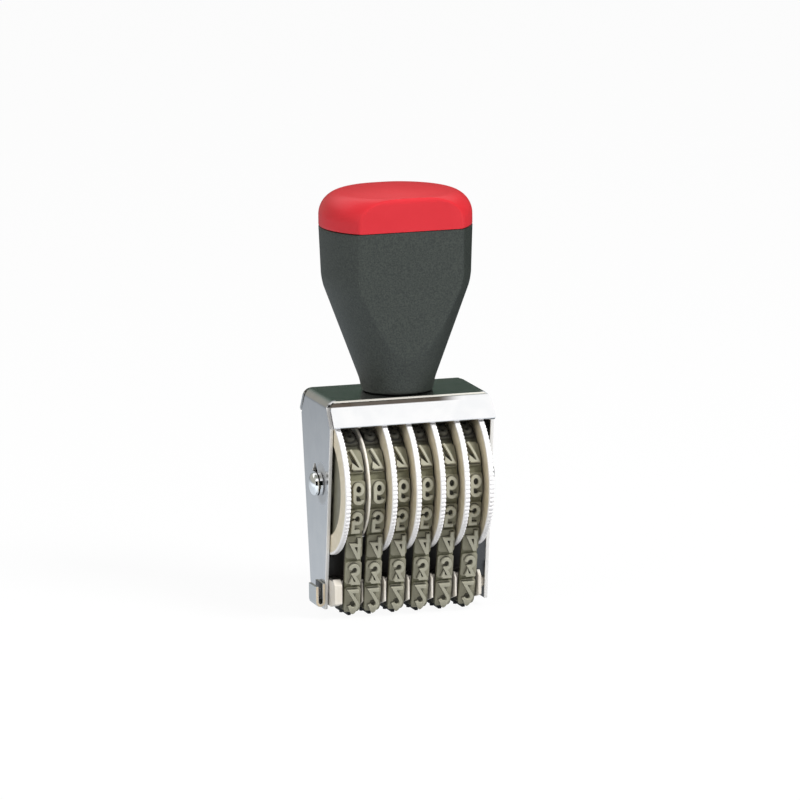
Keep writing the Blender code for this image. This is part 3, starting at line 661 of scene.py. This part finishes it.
def ribbon(points, closed=False, width=stroke):
    """A flat-topped stroke of a figure with drafted sides, swept along a centre-line in (x, y)."""
    count = len(points)
    spots = [Vector(p) for p in points]
    shape = bmesh.new()
    rings = []
    for i, spot in enumerate(spots):
        before = spots[(i - 1) % count] if closed or i else spot
        after = spots[(i + 1) % count] if closed or i < count - 1 else spot
        first = (spot - before).normalized() if (spot - before).length else (after - spot).normalized()
        second = (after - spot).normalized() if (after - spot).length else first
        across = Vector((-first.y - second.y, first.x + second.x)).normalized()
        mitre = across / max(0.35, across.dot(Vector((-first.y, first.x))))
        ring = []
        for reach, height in ((width / 2 + figure_draft, pad_top - figure_sink), (width / 2, figure_top)):
            ends = [spot + mitre * reach, spot - mitre * reach]
            ring += [shape.verts.new((end.x, end.y, height)) for end in ends]
        rings.append([ring[0], ring[2], ring[3], ring[1]])
    for i in range(count if closed else count - 1):
        near, far = rings[i], rings[(i + 1) % count]
        for k in range(4):
            shape.faces.new((near[k], near[(k + 1) % 4], far[(k + 1) % 4], far[k]))
    if not closed:
        shape.faces.new(rings[0])
        shape.faces.new(rings[-1])
    bmesh.ops.recalc_face_normals(shape, faces=shape.faces)
    return shape


def prism(shape, low, high, foot, top):
    """Adds to a shape a closed block between a lower and an upper outline in (x, y)."""
    rows = [[shape.verts.new((*spot, z)) for spot in outline] for outline, z in ((low, foot), (high, top))]
    for i in range(len(low)):
        n = (i + 1) % len(low)
        shape.faces.new((rows[0][i], rows[0][n], rows[1][n], rows[1][i]))
    shape.faces.new(rows[0])
    shape.faces.new(rows[1])
    bmesh.ops.recalc_face_normals(shape, faces=shape.faces)
    return shape


def serif(corners):
    """A flat-topped corner piece of a figure with drafted sides, from its outline in (x, y)."""
    spots = [Vector(c) for c in corners]
    middle = sum(spots, Vector((0.0, 0.0))) / len(spots)
    grown = [spot + (spot - middle).normalized() * figure_draft for spot in spots]
    return prism(bmesh.new(), grown, spots, pad_top - figure_sink, figure_top)


def oval(centre, half_width, half_height, start, end, steps=curve_steps):
    """Points on an upright oval from one angle to another in degrees."""
    turn = [math.radians(start + (end - start) * i / steps) for i in range(steps + 1)]
    return [(centre[0] + half_width * math.cos(a), centre[1] + half_height * math.sin(a)) for a in turn]


def figure_strokes(digit):
    """The centre-lines of a plain numeral about its middle, y up, and whether each one is closed."""
    w = figure_half_width - stroke / 2
    h = figure_half_height - stroke / 2
    end = figure_half_height
    bowl = w * 1.22
    ring_turn = 360 - 180 / curve_steps
    ring_steps = 2 * curve_steps - 1
    if digit == 0:
        return [(oval((0, h - w), w, w, 0, 180) + oval((0, w - h), w, w, 180, 360), True)]
    if digit == 1:
        return [([(-w * 0.75, h * 0.55), (w * 0.2, h), (w * 0.2, -end)], False)]
    if digit == 2:
        top = oval((0, h - w), w, w, 165, -25)
        return [(top + [(-w * 0.95, -h), (w * 1.25, -h)], False)]
    if digit == 3:
        low = oval((-w * 0.05, bowl - h), w * 1.04, bowl, 84, -168)
        return [([(-w * 0.85, h), (w * 0.98, h), (-w * 0.20, bowl * 2 - h)] + low[1:], False)]
    if digit == 4:
        stem = [(w * 0.86, end), (w * 0.86, -end)]
        arm = [(w * 0.86, end), (-w * 0.88, -h * 0.40), (w * 1.36, -h * 0.40)]
        return [(arm, False), (stem, False)]
    if digit == 5:
        low = oval((0, bowl - h), w, bowl, 156, -164)
        neck = [(w * 0.85, h), (-w * 0.94, h), (-w * 0.94, bowl * 1.45 - h)]
        return [(neck, False), (low, False)]
    if digit in (6, 9):
        ring = oval((0, bowl - h), w, bowl, 0, ring_turn, ring_steps)
        tail = oval((0, h - w * 0.95), w, w * 0.95, 8, 180) + [(-w, bowl - h)]
        strokes = [(ring, True), (tail, False)]
        if digit == 9:
            return [([(-x, -y) for x, y in line], closed) for line, closed in strokes]
        return strokes
    if digit == 7:
        return [([(-w, h), (w * 0.98, h), (-w * 0.80, -end)], False)]
    upper, lower = w * 0.96, w * 1.12
    top = oval((0, h - upper), w * 0.92, upper, 0, ring_turn, ring_steps)
    low = oval((0, lower - h), w, lower * 1.06, 0, ring_turn, ring_steps)
    return [(top, True), (low, True)]


def hollows(digit):
    """Where the hollows of a numeral are painted near black as shade: outlines in (x, y), y up."""
    w = figure_half_width - stroke
    h = figure_half_height - stroke
    bowl = (figure_half_width - stroke / 2) * 1.22
    low_y = bowl - figure_half_height + stroke / 2

    def ring(x, y, half_width, half_height):
        """A whole oval, left open by one short side, which its block closes."""
        return oval((x, y), half_width, half_height, 0, 350)

    bowl_ring = ring(0, low_y, w, bowl - stroke / 2)
    six = [bowl_ring, ring(0, h - w * 0.9, w, w * 0.75)]
    outlines = {
        0: [ring(0, 0, w, h)],
        2: [ring(-w * 0.1, h - w, w, w),
            [(-w, -h), (-w * 0.1, -h), (w * 0.9, h * 0.25), (w * 0.2, h * 0.25)]],
        3: [ring(-w * 0.1, low_y, w * 1.1, bowl - stroke / 2)],
        4: [[(-w * 0.6, -h * 0.2), (w * 0.9, -h * 0.2), (w * 0.9, h * 0.6)]],
        5: [bowl_ring],
        6: six,
        7: [[(-w * 1.1, h * 0.95), (-w * 1.5, -h * 0.55), (w * 1.1, h * 0.95)]],
        8: [ring(0, h - w * 0.9, w, w * 0.9), bowl_ring],
        9: [[(-x, -y) for x, y in outline] for outline in six],
    }
    return outlines.get(digit, [])


def figure(digit):
    """A raised numeral as it stands on its pad on the front: its top points down the band. Thin
    plates in its hollows carry the painted shade."""
    width = thin_stroke if digit == 7 else stroke
    strokes = [ribbon(line, closed, width) for line, closed in figure_strokes(digit)]
    bar = figure_half_height - stroke / 2
    if digit == 7:
        strokes.append(serif([(-0.00122, bar), (-0.00094, 0.00072), (0.00045, bar)]))
    if digit == 3:
        strokes.append(serif([(-0.00108, bar), (-0.00050, 0.00062), (-0.00002, bar)]))
    shape = strokes[0]
    for other in strokes[1:]:
        shape = combined(shape, "UNION", other)
    for outline in hollows(digit):
        prism(shape, outline, outline, pad_top - figure_sink, pad_top + hollow_plate_rise)
    bmesh.ops.scale(shape, vec=(1, -1, 1), verts=shape.verts)
    bmesh.ops.recalc_face_normals(shape, faces=shape.faces)
    return shape


def loop_tile():
    """One pitch of the plain loop laid flat, x across and y along it, open at both ends."""
    shape = block((-loop_width / 2, -pitch / 2, 0.0), (loop_width / 2, pitch / 2, loop_height))
    ends = [f for f in shape.faces if abs(f.normal.y) > 0.5]
    bmesh.ops.delete(shape, geom=ends, context="FACES_ONLY")
    rims = [e for e in shape.edges if not e.is_boundary and all(v.co.z > loop_height / 2 for v in e.verts)]
    return bevelled(shape, rims, loop_edge)


def pad_block():
    """The raised table of one pad laid flat, with round corners and a soft top edge."""
    base = loop_height - pad_sink
    shape = block((-band_width / 2, -pad_length / 2, base), (band_width / 2, pad_length / 2, pad_top))
    uprights = [e for e in shape.edges if abs(e.verts[0].co.z - e.verts[1].co.z) > pad_edge]
    bevelled(shape, uprights, pad_corner, segments=5)
    rims = [e for e in shape.edges if all(v.co.z > pad_top - merge_gap for v in e.verts)]
    return bevelled(shape, rims, pad_edge)


def crossways(shape):
    """Cuts a flat tile into strips across the band, narrow enough to bend round the drum."""
    count = int(pitch / bend_step)
    for i in range(1, count):
        place = -pitch / 2 + pitch * i / count
        geometry = shape.verts[:] + shape.edges[:] + shape.faces[:]
        bmesh.ops.bisect_plane(shape, geom=geometry, dist=merge_gap, plane_co=(0, place, 0),
                               plane_no=(0, 1, 0))
    return shape


def bent(tile_y, height, middle, stiff):
    """Where a point of a pad goes. On the drum a stiff pad keeps its length, and the gaps open."""
    radius = way.radius_at(middle + tile_y)
    if radius and stiff:
        tile_y *= radius / (radius + height - cord_depth)
    return way.at(middle + tile_y, height)


def whole_loop():
    """A whole band in its plane, x from its own middle: the loop, its pads and its figures. Two
    attributes keep each point's height, what it belongs to, and its place along the band."""
    plain, table = crossways(loop_tile()), crossways(pad_block())
    numerals = {digit: crossways(figure(digit)) for digit in range(10)}
    order = [1, 2, 3, 4, 5, 6, 7, 8, 9, 0]
    # How dark each pad is painted: the printing pad with its ink, the 8 and the pads after it as painted shade
    # under the apron.
    ink_and_shade = [1.0] + [0.0] * 6 + [0.82] + [0.5] * (pad_count - 8)
    shape = bmesh.new()
    kind = shape.verts.layers.float_color.new("kind")
    lay = shape.verts.layers.float_color.new("lay")
    for k in range(pad_count):
        middle = k * pitch - band_phase
        tiles = [(plain, False), (table, True)]
        if k < len(order):
            tiles.append((numerals[order[k]], True))
        for tile, stiff in tiles:
            copies = {}
            for vert in tile.verts:
                x, along, height = vert.co
                made = shape.verts.new((x, *bent(along, height, middle, stiff)))
                made[kind] = (height / figure_top, float(tile not in (plain, table)), ink_and_shade[k], 1.0)
                made[lay] = (x / weave_pitch, (middle + along) / weave_pitch, 0.0, 1.0)
                copies[vert] = made
            for face in tile.faces:
                shape.faces.new([copies[v] for v in face.verts])
    bmesh.ops.remove_doubles(shape, verts=shape.verts, dist=merge_gap)
    bmesh.ops.recalc_face_normals(shape, faces=shape.faces)
    for tile in (plain, table, *numerals.values()):
        tile.free()
    return shape


def middle_x(node, low, high):
    """The middle across a CAD band between two heights."""
    across = [v.co.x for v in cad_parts[node].data.vertices if low <= v.co.z <= high]
    return (min(across) + max(across)) / 2


rubber = Finish("grey_rubber", (0.26, 0.25, 0.19), 0.72, specular_ior_level=0.35)
level, raised, near_black = rubber.painted("kind")
across, along, _ = rubber.painted("lay")
cloud = rubber.noise(0.0014, 4.0)
speck = rubber.noise(0.00016, 2.0)
weave = (across * math.pi).math("SINE", across * math.pi) * (along * math.pi).math("SINE", along * math.pi)
cord = rubber.tint(rubber.band_of(weave, -0.5, 0.5), (0.012, 0.010, 0.008), (0.060, 0.048, 0.036))
# The band's side walls are painted dark as shade.
walls = rubber.tint(rubber.band_of(level, 0.02, 0.06), cord, (0.050, 0.043, 0.028))
valley = rubber.tint(rubber.band_of(level, 0.28, 0.34), walls, (0.165, 0.162, 0.105))
at_z = rubber.place()[2]
# Painted shade: the pads are painted darker higher up, towards the apron, and lighter low down.
lower_lit = 1.0 - rubber.band_of(at_z + shade_ragged * (cloud - 0.5), *shade_rise)
table = rubber.tint(lower_lit, (0.220, 0.212, 0.152), (0.290, 0.280, 0.210))
tables = rubber.tint(rubber.band_of(level + 0.06 * (cloud - 0.5), 0.46, 0.60), valley, table)
# Painted shade: the figures' hollow plates and the feet of their walls go near black, a little less low on the
# band.
hollow_shade = rubber.tint(raised * (0.94 - 0.10 * lower_lit), tables, (0.030, 0.028, 0.022))
figures = rubber.tint(raised * rubber.band_of(level, 0.66, 0.97), hollow_shade, (0.385, 0.375, 0.295))
dusty = rubber.tint(0.25 * rubber.band_of(speck, 0.46, 0.72), figures, (0.40, 0.39, 0.31))
# Near black on the printing pad from its ink, and on the 8 and the pads after it as painted shade.
rubber.feed("Base Color", rubber.tint(near_black * rubber.band_of(level, 0.30, 0.36), dusty, (0.012, 0.012, 0.013)))
rubber.feed("Roughness", 0.62 + 0.2 * cloud)
rubber.relief(0.6 * speck + 0.4 * cloud, 0.00002)

master = whole_loop()
top_z = axle_z - drum_radius
low_z = type_relief + band_thickness
for number in range(1, 7):
    node = f"band_{number}"
    low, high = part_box(node)
    drum_x = middle_x(node, top_z, high.z)
    foot_x = middle_x(node, low.z, low_z)
    shape = master.copy()
    for vert in shape.verts:
        share = min(1.0, max(0.0, (top_z - vert.co.z) / (top_z - low_z)))
        vert.co.x += drum_x + (foot_x - drum_x) * share
    piece(f"type_band_{number}", shape, rubber, "stamp", [node])
master.free()


# Clip: a hairpin of spring steel on the bridge's left tenon. It is cut from plated strip, so its
# broad faces are silver and its cut edges have gone brassy.
clip_round = 0.00007
clip_sheet = 0.00065
spring = Finish("spring_steel", (0.56, 0.57, 0.56), 0.26, metallic=1.0)
brassy, shaded, _ = spring.painted("cut")
strip_grain = spring.noise(0.0003, 2.0, stretch=(1.0, 1.0, 6.0))
faces = spring.tint(shaded, (0.56, 0.57, 0.56), (0.020, 0.016, 0.010))
spring.feed("Base Color", spring.tint(brassy, faces, (0.62, 0.52, 0.38)))
spring.feed("Metallic", 1.0 - 0.6 * brassy)
spring.feed("Roughness", 0.22 + 0.14 * spring.noise(0.0012, 3.0) + 0.2 * brassy)
spring.relief(strip_grain, 0.000004)
clip_low, clip_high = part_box("bridge_clip")


def strip_cut(face):
    """The brassy cut edges of the strip, in front and behind."""
    return abs(face.normal.y) > 0.95


def between_legs(face):
    """The inside of the hairpin, where dust and shade lie."""
    spot = face.calc_center_median()
    inside = clip_low.x + clip_sheet * 0.8 < spot.x < clip_high.x - clip_sheet * 0.8
    return inside and spot.z > clip_low.z + clip_sheet and abs(face.normal.y) < 0.5


clip = round_edges(merged_copy("bridge_clip"), clip_round)
marked(clip, "cut", strip_cut, between_legs)
piece("hairpin_clip", clip, spring, "stamp", ["bridge_clip"], even=True)


# Handle screw: it goes up through the roof into the grip's neck, over a flat washer. Both are
# plain turned steel and keep their CAD shape.
for node in ("handle_screw", "handle_washer"):
    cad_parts[node].material_slots[0].material = steel.material


# Grip: a turned shape with a flat front and back, moulded in charcoal plastic with a fine
# spark-eroded grain. The flats run into the round flanks over a soft crease.
grip_low, grip_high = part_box("handle_body")
grip_foot = Vector(((grip_low.x + grip_high.x) / 2, (grip_low.y + grip_high.y) / 2, grip_low.z))
seam_height = grip_high.z - grip_low.z
neck_radius = 0.0074
shoulder_radius = 0.0162
grip_radius = 0.0169
cone_height = 0.0240
cone_end = 0.0232
shoulder_end = 0.0262
shoulder_aim = (0.0001, 0.0004)
shoulder_in = 0.0004
neck_round = 0.0006
foot_swell = 0.00055
swell_height = 0.0036
seam_round = 0.00022
flat_at_foot = 0.0099
flat_at_seam = 0.0120
crease_soft = 0.00022
grip_steps = 440
ring_step = 0.0005


def blended(first, middle, last, steps):
    """Points on a parabola from the first point to the last, aimed at the middle one."""
    points = []
    for i in range(steps + 1):
        t = i / steps
        u = 1 - t
        points.append(tuple(a * u * u + 2 * b * u * t + c * t * t for a, b, c in zip(first, middle, last)))
    return points


def divided(points):
    """A profile with more points on its long straight runs."""
    fine = [points[0]]
    for (r1, z1), (r2, z2) in zip(points, points[1:]):
        parts = max(1, round(math.hypot(r2 - r1, z2 - z1) / ring_step))
        fine += [(r1 + (r2 - r1) * i / parts, z1 + (z2 - z1) * i / parts) for i in range(1, parts + 1)]
    return fine


def soft_least(value, limit, reach):
    """The lesser of two numbers, rounded over where they come near each other."""
    share = min(1.0, max(0.0, 0.5 + 0.5 * (limit - value) / reach))
    return limit + (value - limit) * share - reach * share * (1 - share)


def flattened(shape, limit_at, soft=crease_soft):
    """Presses a turned shape flat in front and behind, to a limit that depends on the height."""
    for vert in shape.verts:
        away = vert.co.y - grip_foot.y
        limit = limit_at(vert.co.z - grip_foot.z)
        pressed = soft_least(abs(away), limit, soft)
        vert.co.y = grip_foot.y + math.copysign(pressed, away)
    return shape


def flat_limit(height):
    return flat_at_foot + (flat_at_seam - flat_at_foot) * height / seam_height


def cone_radius(height):
    """The cone's radius; near its foot it swells a little, so that the neck stands nearly upright."""
    swell = foot_swell * max(0.0, 1 - height / swell_height) ** 2
    return neck_radius + (shoulder_radius - neck_radius) * height / cone_height + swell


charcoal = Finish("charcoal_plastic", (0.036, 0.041, 0.039), 0.46, specular_ior_level=0.5)
grain = charcoal.noise(0.00034, 3.0, 0.6)
broad = charcoal.noise(0.0045, 3.0)
speckled = charcoal.band_of(grain, 0.25, 0.75)
charcoal.feed("Base Color", charcoal.tint(speckled, (0.008, 0.011, 0.009), (0.038, 0.045, 0.037)))
charcoal.feed("Roughness", 0.40 + 0.14 * grain + 0.06 * broad)
charcoal.relief(grain, 0.00010)

profile = [(0.0, 0.0)]
profile += oval((cone_radius(0.0) - neck_round, neck_round), neck_round, neck_round, 270, 355, 5)
profile += [(cone_radius(h), h) for h in (swell_height * k / 6 for k in range(2, 7))]
turning = (shoulder_radius + shoulder_aim[0], cone_height + shoulder_aim[1])
profile += blended((cone_radius(cone_end), cone_end), turning, (grip_radius - shoulder_in, shoulder_end), 12)
profile += [(grip_radius, seam_height - seam_round)]
profile += oval((grip_radius - seam_round, seam_height - seam_round), seam_round, seam_round, 20, 90, 3)
profile += [(0.0, seam_height)]
grip = turned(divided(profile), grip_steps, grip_foot, "Z")
flattened(grip, flat_limit)
piece("grip_shell", grip, charcoal, "stamp", ["handle_body"])


# Cap: a red moulding with a satin skin, pushed into the top of the grip. It carries on the grip's
# outline, rolls over into a nearly flat crown, and rounds off the top of each flat.
seam_gap = 0.00015
cap_low = seam_height + seam_gap
cap_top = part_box("handle_cap")[1].z - grip_foot.z
cap_fillet = 0.0052
cap_dome = 0.0010
flat_round = 0.0022
cap_crease = 0.00035
crown_steps = 10


def cap_limit(height):
    """The flats' limit on the cap: straight, then rounded inwards towards the crown."""
    start = cap_top - flat_round
    limit = flat_limit(min(height, start))
    over = min(height - start, flat_round)
    if over > 0:
        limit -= flat_round - math.sqrt(flat_round * flat_round - over * over)
    return limit


red = Finish("red_plastic", (0.55, 0.014, 0.024), 0.34, specular_ior_level=0.32)
skin = red.noise(0.00035, 2.0)
red.feed("Base Color", red.tint(red.noise(0.006, 3.0), (0.53, 0.016, 0.024), (0.60, 0.023, 0.033)))
red.feed("Roughness", 0.33 + 0.10 * skin)
red.relief(skin, 0.000010)

crown_radius = grip_radius - cap_fillet
crown_rim = cap_top - cap_dome
profile = [(0.0, cap_low)]
profile += oval((grip_radius - seam_round, cap_low + seam_round), seam_round, seam_round, 270, 355, 3)
profile += oval((crown_radius, crown_rim - cap_fillet), cap_fillet, cap_fillet, 0, 88, 20)
for i in range(1, crown_steps + 1):
    share = 1 - i / crown_steps
    profile.append((crown_radius * share, cap_top - cap_dome * share * share))
cap = turned(divided(profile), grip_steps, grip_foot, "Z")
flattened(cap, cap_limit, cap_crease)
piece("cap_shell", cap, red, "stamp", ["handle_cap"])


# Table and light: a white floor in a white tent, which lights all sides. A lamp stands at the upper
# right in front and a weaker one at the left. In metal and gloss the tent is bright in front and at
# the left, and dark behind at the right; a bright strip over the back lights the folds.
floor_half = 3.0
floor_drop = 0.0002
white = (1.0, 1.0, 1.0, 1.0)
tent_light = 0.50
lamp_aim = Vector((0.0, 0.0, 0.045))


class Studio(Finish):
    """The node tree of the floor or of the world, which starts empty and mixes by the kind of ray."""

    def __init__(self, tree):
        self.tree = tree
        tree.nodes.clear()
        rays = tree.nodes.new("ShaderNodeLightPath")
        self.seen = Signal(self, rays.outputs["Is Camera Ray"])
        glossy = Signal(self, rays.outputs["Is Glossy Ray"])
        self.mirrored = glossy.math("MAXIMUM", glossy, Signal(self, rays.outputs["Is Transmission Ray"]))

    def ramp(self, signal, stops):
        return self.add("ShaderNodeValToRGB", {"stops": stops}, {0: signal})


paint = bpy.data.materials.new("white_floor")
paint.use_nodes = True
floor = Studio(paint.node_tree)
floor_x, floor_y, _ = floor.place()
sideways = floor.ramp(floor_x * 2.0 + 0.5, [(0.20, 1.15), (0.30, 0.76), (0.45, 0.72), (0.56, 0.16)])
behind = floor.band_of(floor_y, -0.05, 0.02)
distant = floor.band_of(floor_y, 0.0, 0.49)
near_glow = 1.15 + behind * (sideways - 1.15)
shade = near_glow * (1.0 - 0.72 * distant)
matt = floor.add("ShaderNodeBsdfDiffuse", {}, {"Color": (0.55, 0.55, 0.55, 1.0)})
glow = floor.add("ShaderNodeEmission", {}, {"Color": white, "Strength": 1.04})
mirror_glow = floor.add("ShaderNodeEmission", {}, {"Color": (0.92, 0.99, 1.055, 1.0), "Strength": shade})
lit = floor.add("ShaderNodeMixShader", {}, {0: floor.seen * 0.90, 1: matt, 2: glow})
floor_out = floor.add("ShaderNodeMixShader", {}, {0: floor.mirrored, 1: lit, 2: mirror_glow})
end = floor.tree.nodes.new("ShaderNodeOutputMaterial")
floor.join(end.inputs["Surface"], floor_out)
ground = bmesh.new()
bmesh.ops.create_grid(ground, x_segments=1, y_segments=1, size=floor_half)
bmesh.ops.translate(ground, vec=(0.0, 0.0, -floor_drop), verts=ground.verts)
mesh = bpy.data.meshes.new("floor")
ground.to_mesh(mesh)
ground.free()
mesh.materials.append(paint)
obj = bpy.data.objects.new("floor", mesh)
bpy.context.scene.collection.objects.link(obj)


def soft_lamp(name, place, width, height, brightness, mirrored):
    """An area lamp aimed at the stamp, given the brightness of its face."""
    data = bpy.data.lights.new(name, "AREA")
    data.shape = "RECTANGLE"
    data.size = width
    data.size_y = height
    data.energy = brightness * math.pi * width * height
    obj = bpy.data.objects.new(name, data)
    obj.location = place
    obj.rotation_euler = (lamp_aim - Vector(place)).to_track_quat("-Z", "Y").to_euler()
    bpy.context.scene.collection.objects.link(obj)
    obj.visible_camera = False
    obj.visible_glossy = mirrored
    return obj


soft_lamp("key", (0.36, -0.48, 0.66), 0.26, 0.26, 34.0, False)
soft_lamp("left", (-0.72, -0.30, 0.40), 0.50, 0.50, 3.4, False)
overhead = soft_lamp("overhead", (0.24, -0.44, 0.66), 0.60, 0.44, 0.85, True)
overhead.visible_diffuse = False

world = bpy.data.worlds.new("studio")
bpy.context.scene.world = world
world.use_nodes = True
tent = Studio(world.node_tree)
where = tent.add("ShaderNodeTexCoord", {}, {}, "Generated")
toward_x, toward_y, toward_z = tent.parted("ShaderNodeSeparateXYZ", where)
front = tent.band_of(toward_y * -1.0, 0.20, 0.75)
left = tent.band_of(toward_x * -1.0, -0.25, 0.25)
strip = tent.band_of(toward_z, 0.45, 0.55) * (1.0 - tent.band_of(toward_z, 0.80, 0.90))
strip = strip * tent.band_of(toward_y, 0.2, 0.4)
gloss = 0.09 + 1.0 * front + 0.32 * left + 1.1 * strip
strength = tent.seen + (1.0 - tent.seen) * (tent.mirrored * gloss + (1.0 - tent.mirrored) * tent_light)
hidden = 1.0 - front
away = tent.mirrored * hidden * hidden * hidden * (1.0 - strip)
warm = tent.tint(away * left, (1.0, 1.0, 1.0), (1.0, 0.99, 0.88))
air = tent.tint(away * (1.0 - left), warm, (0.70, 1.0, 0.78))
sky = tent.add("ShaderNodeBackground", {}, {"Color": air, "Strength": strength})
end = tent.tree.nodes.new("ShaderNodeOutputWorld")
tent.join(end.inputs["Surface"], sky)


# Camera: the photograph's, far off and long, a little to the left and a little above. It was fitted
# to the frame's corners; aim_x and aim_y are where the aim point lies in the 800 pixel picture.
picture = 800.0
turn = math.radians(16.963)
tilt = math.radians(10.956)
roll = math.radians(-0.613)
aim_x = 397.99
aim_y = 465.849
distance = 1.933
pixels_per_metre = 4538.0
sensor = 36.0
aim = Vector((0.0004, 0.0032038, 0.0316))

back = Vector((-math.sin(turn) * math.cos(tilt), -math.cos(turn) * math.cos(tilt), math.sin(tilt)))
right = Vector((math.cos(turn), -math.sin(turn), 0.0))
up = back.cross(right)
rolled_right = math.cos(roll) * right + math.sin(roll) * up
rolled_up = math.cos(roll) * up - math.sin(roll) * right
spot = aim + back * distance
centre = aim + rolled_right * ((picture / 2 - aim_x) / pixels_per_metre)
centre += rolled_up * ((aim_y - picture / 2) / pixels_per_metre)
view_back = (spot - centre).normalized()
view_right = (rolled_right - view_back * rolled_right.dot(view_back)).normalized()
view_up = view_back.cross(view_right)
lens = bpy.data.cameras.new("photo_camera")
lens.sensor_width = sensor
lens.lens = sensor * pixels_per_metre * distance / picture
lens.clip_start = 0.1
lens.clip_end = 50.0
camera = bpy.data.objects.new("photo_camera", lens)
facing = Matrix((view_right, view_up, view_back)).transposed().to_4x4()
camera.matrix_world = Matrix.Translation(spot) @ facing
bpy.context.scene.collection.objects.link(camera)
bpy.context.scene.camera = camera
bpy.context.scene.view_settings.view_transform = "Standard"
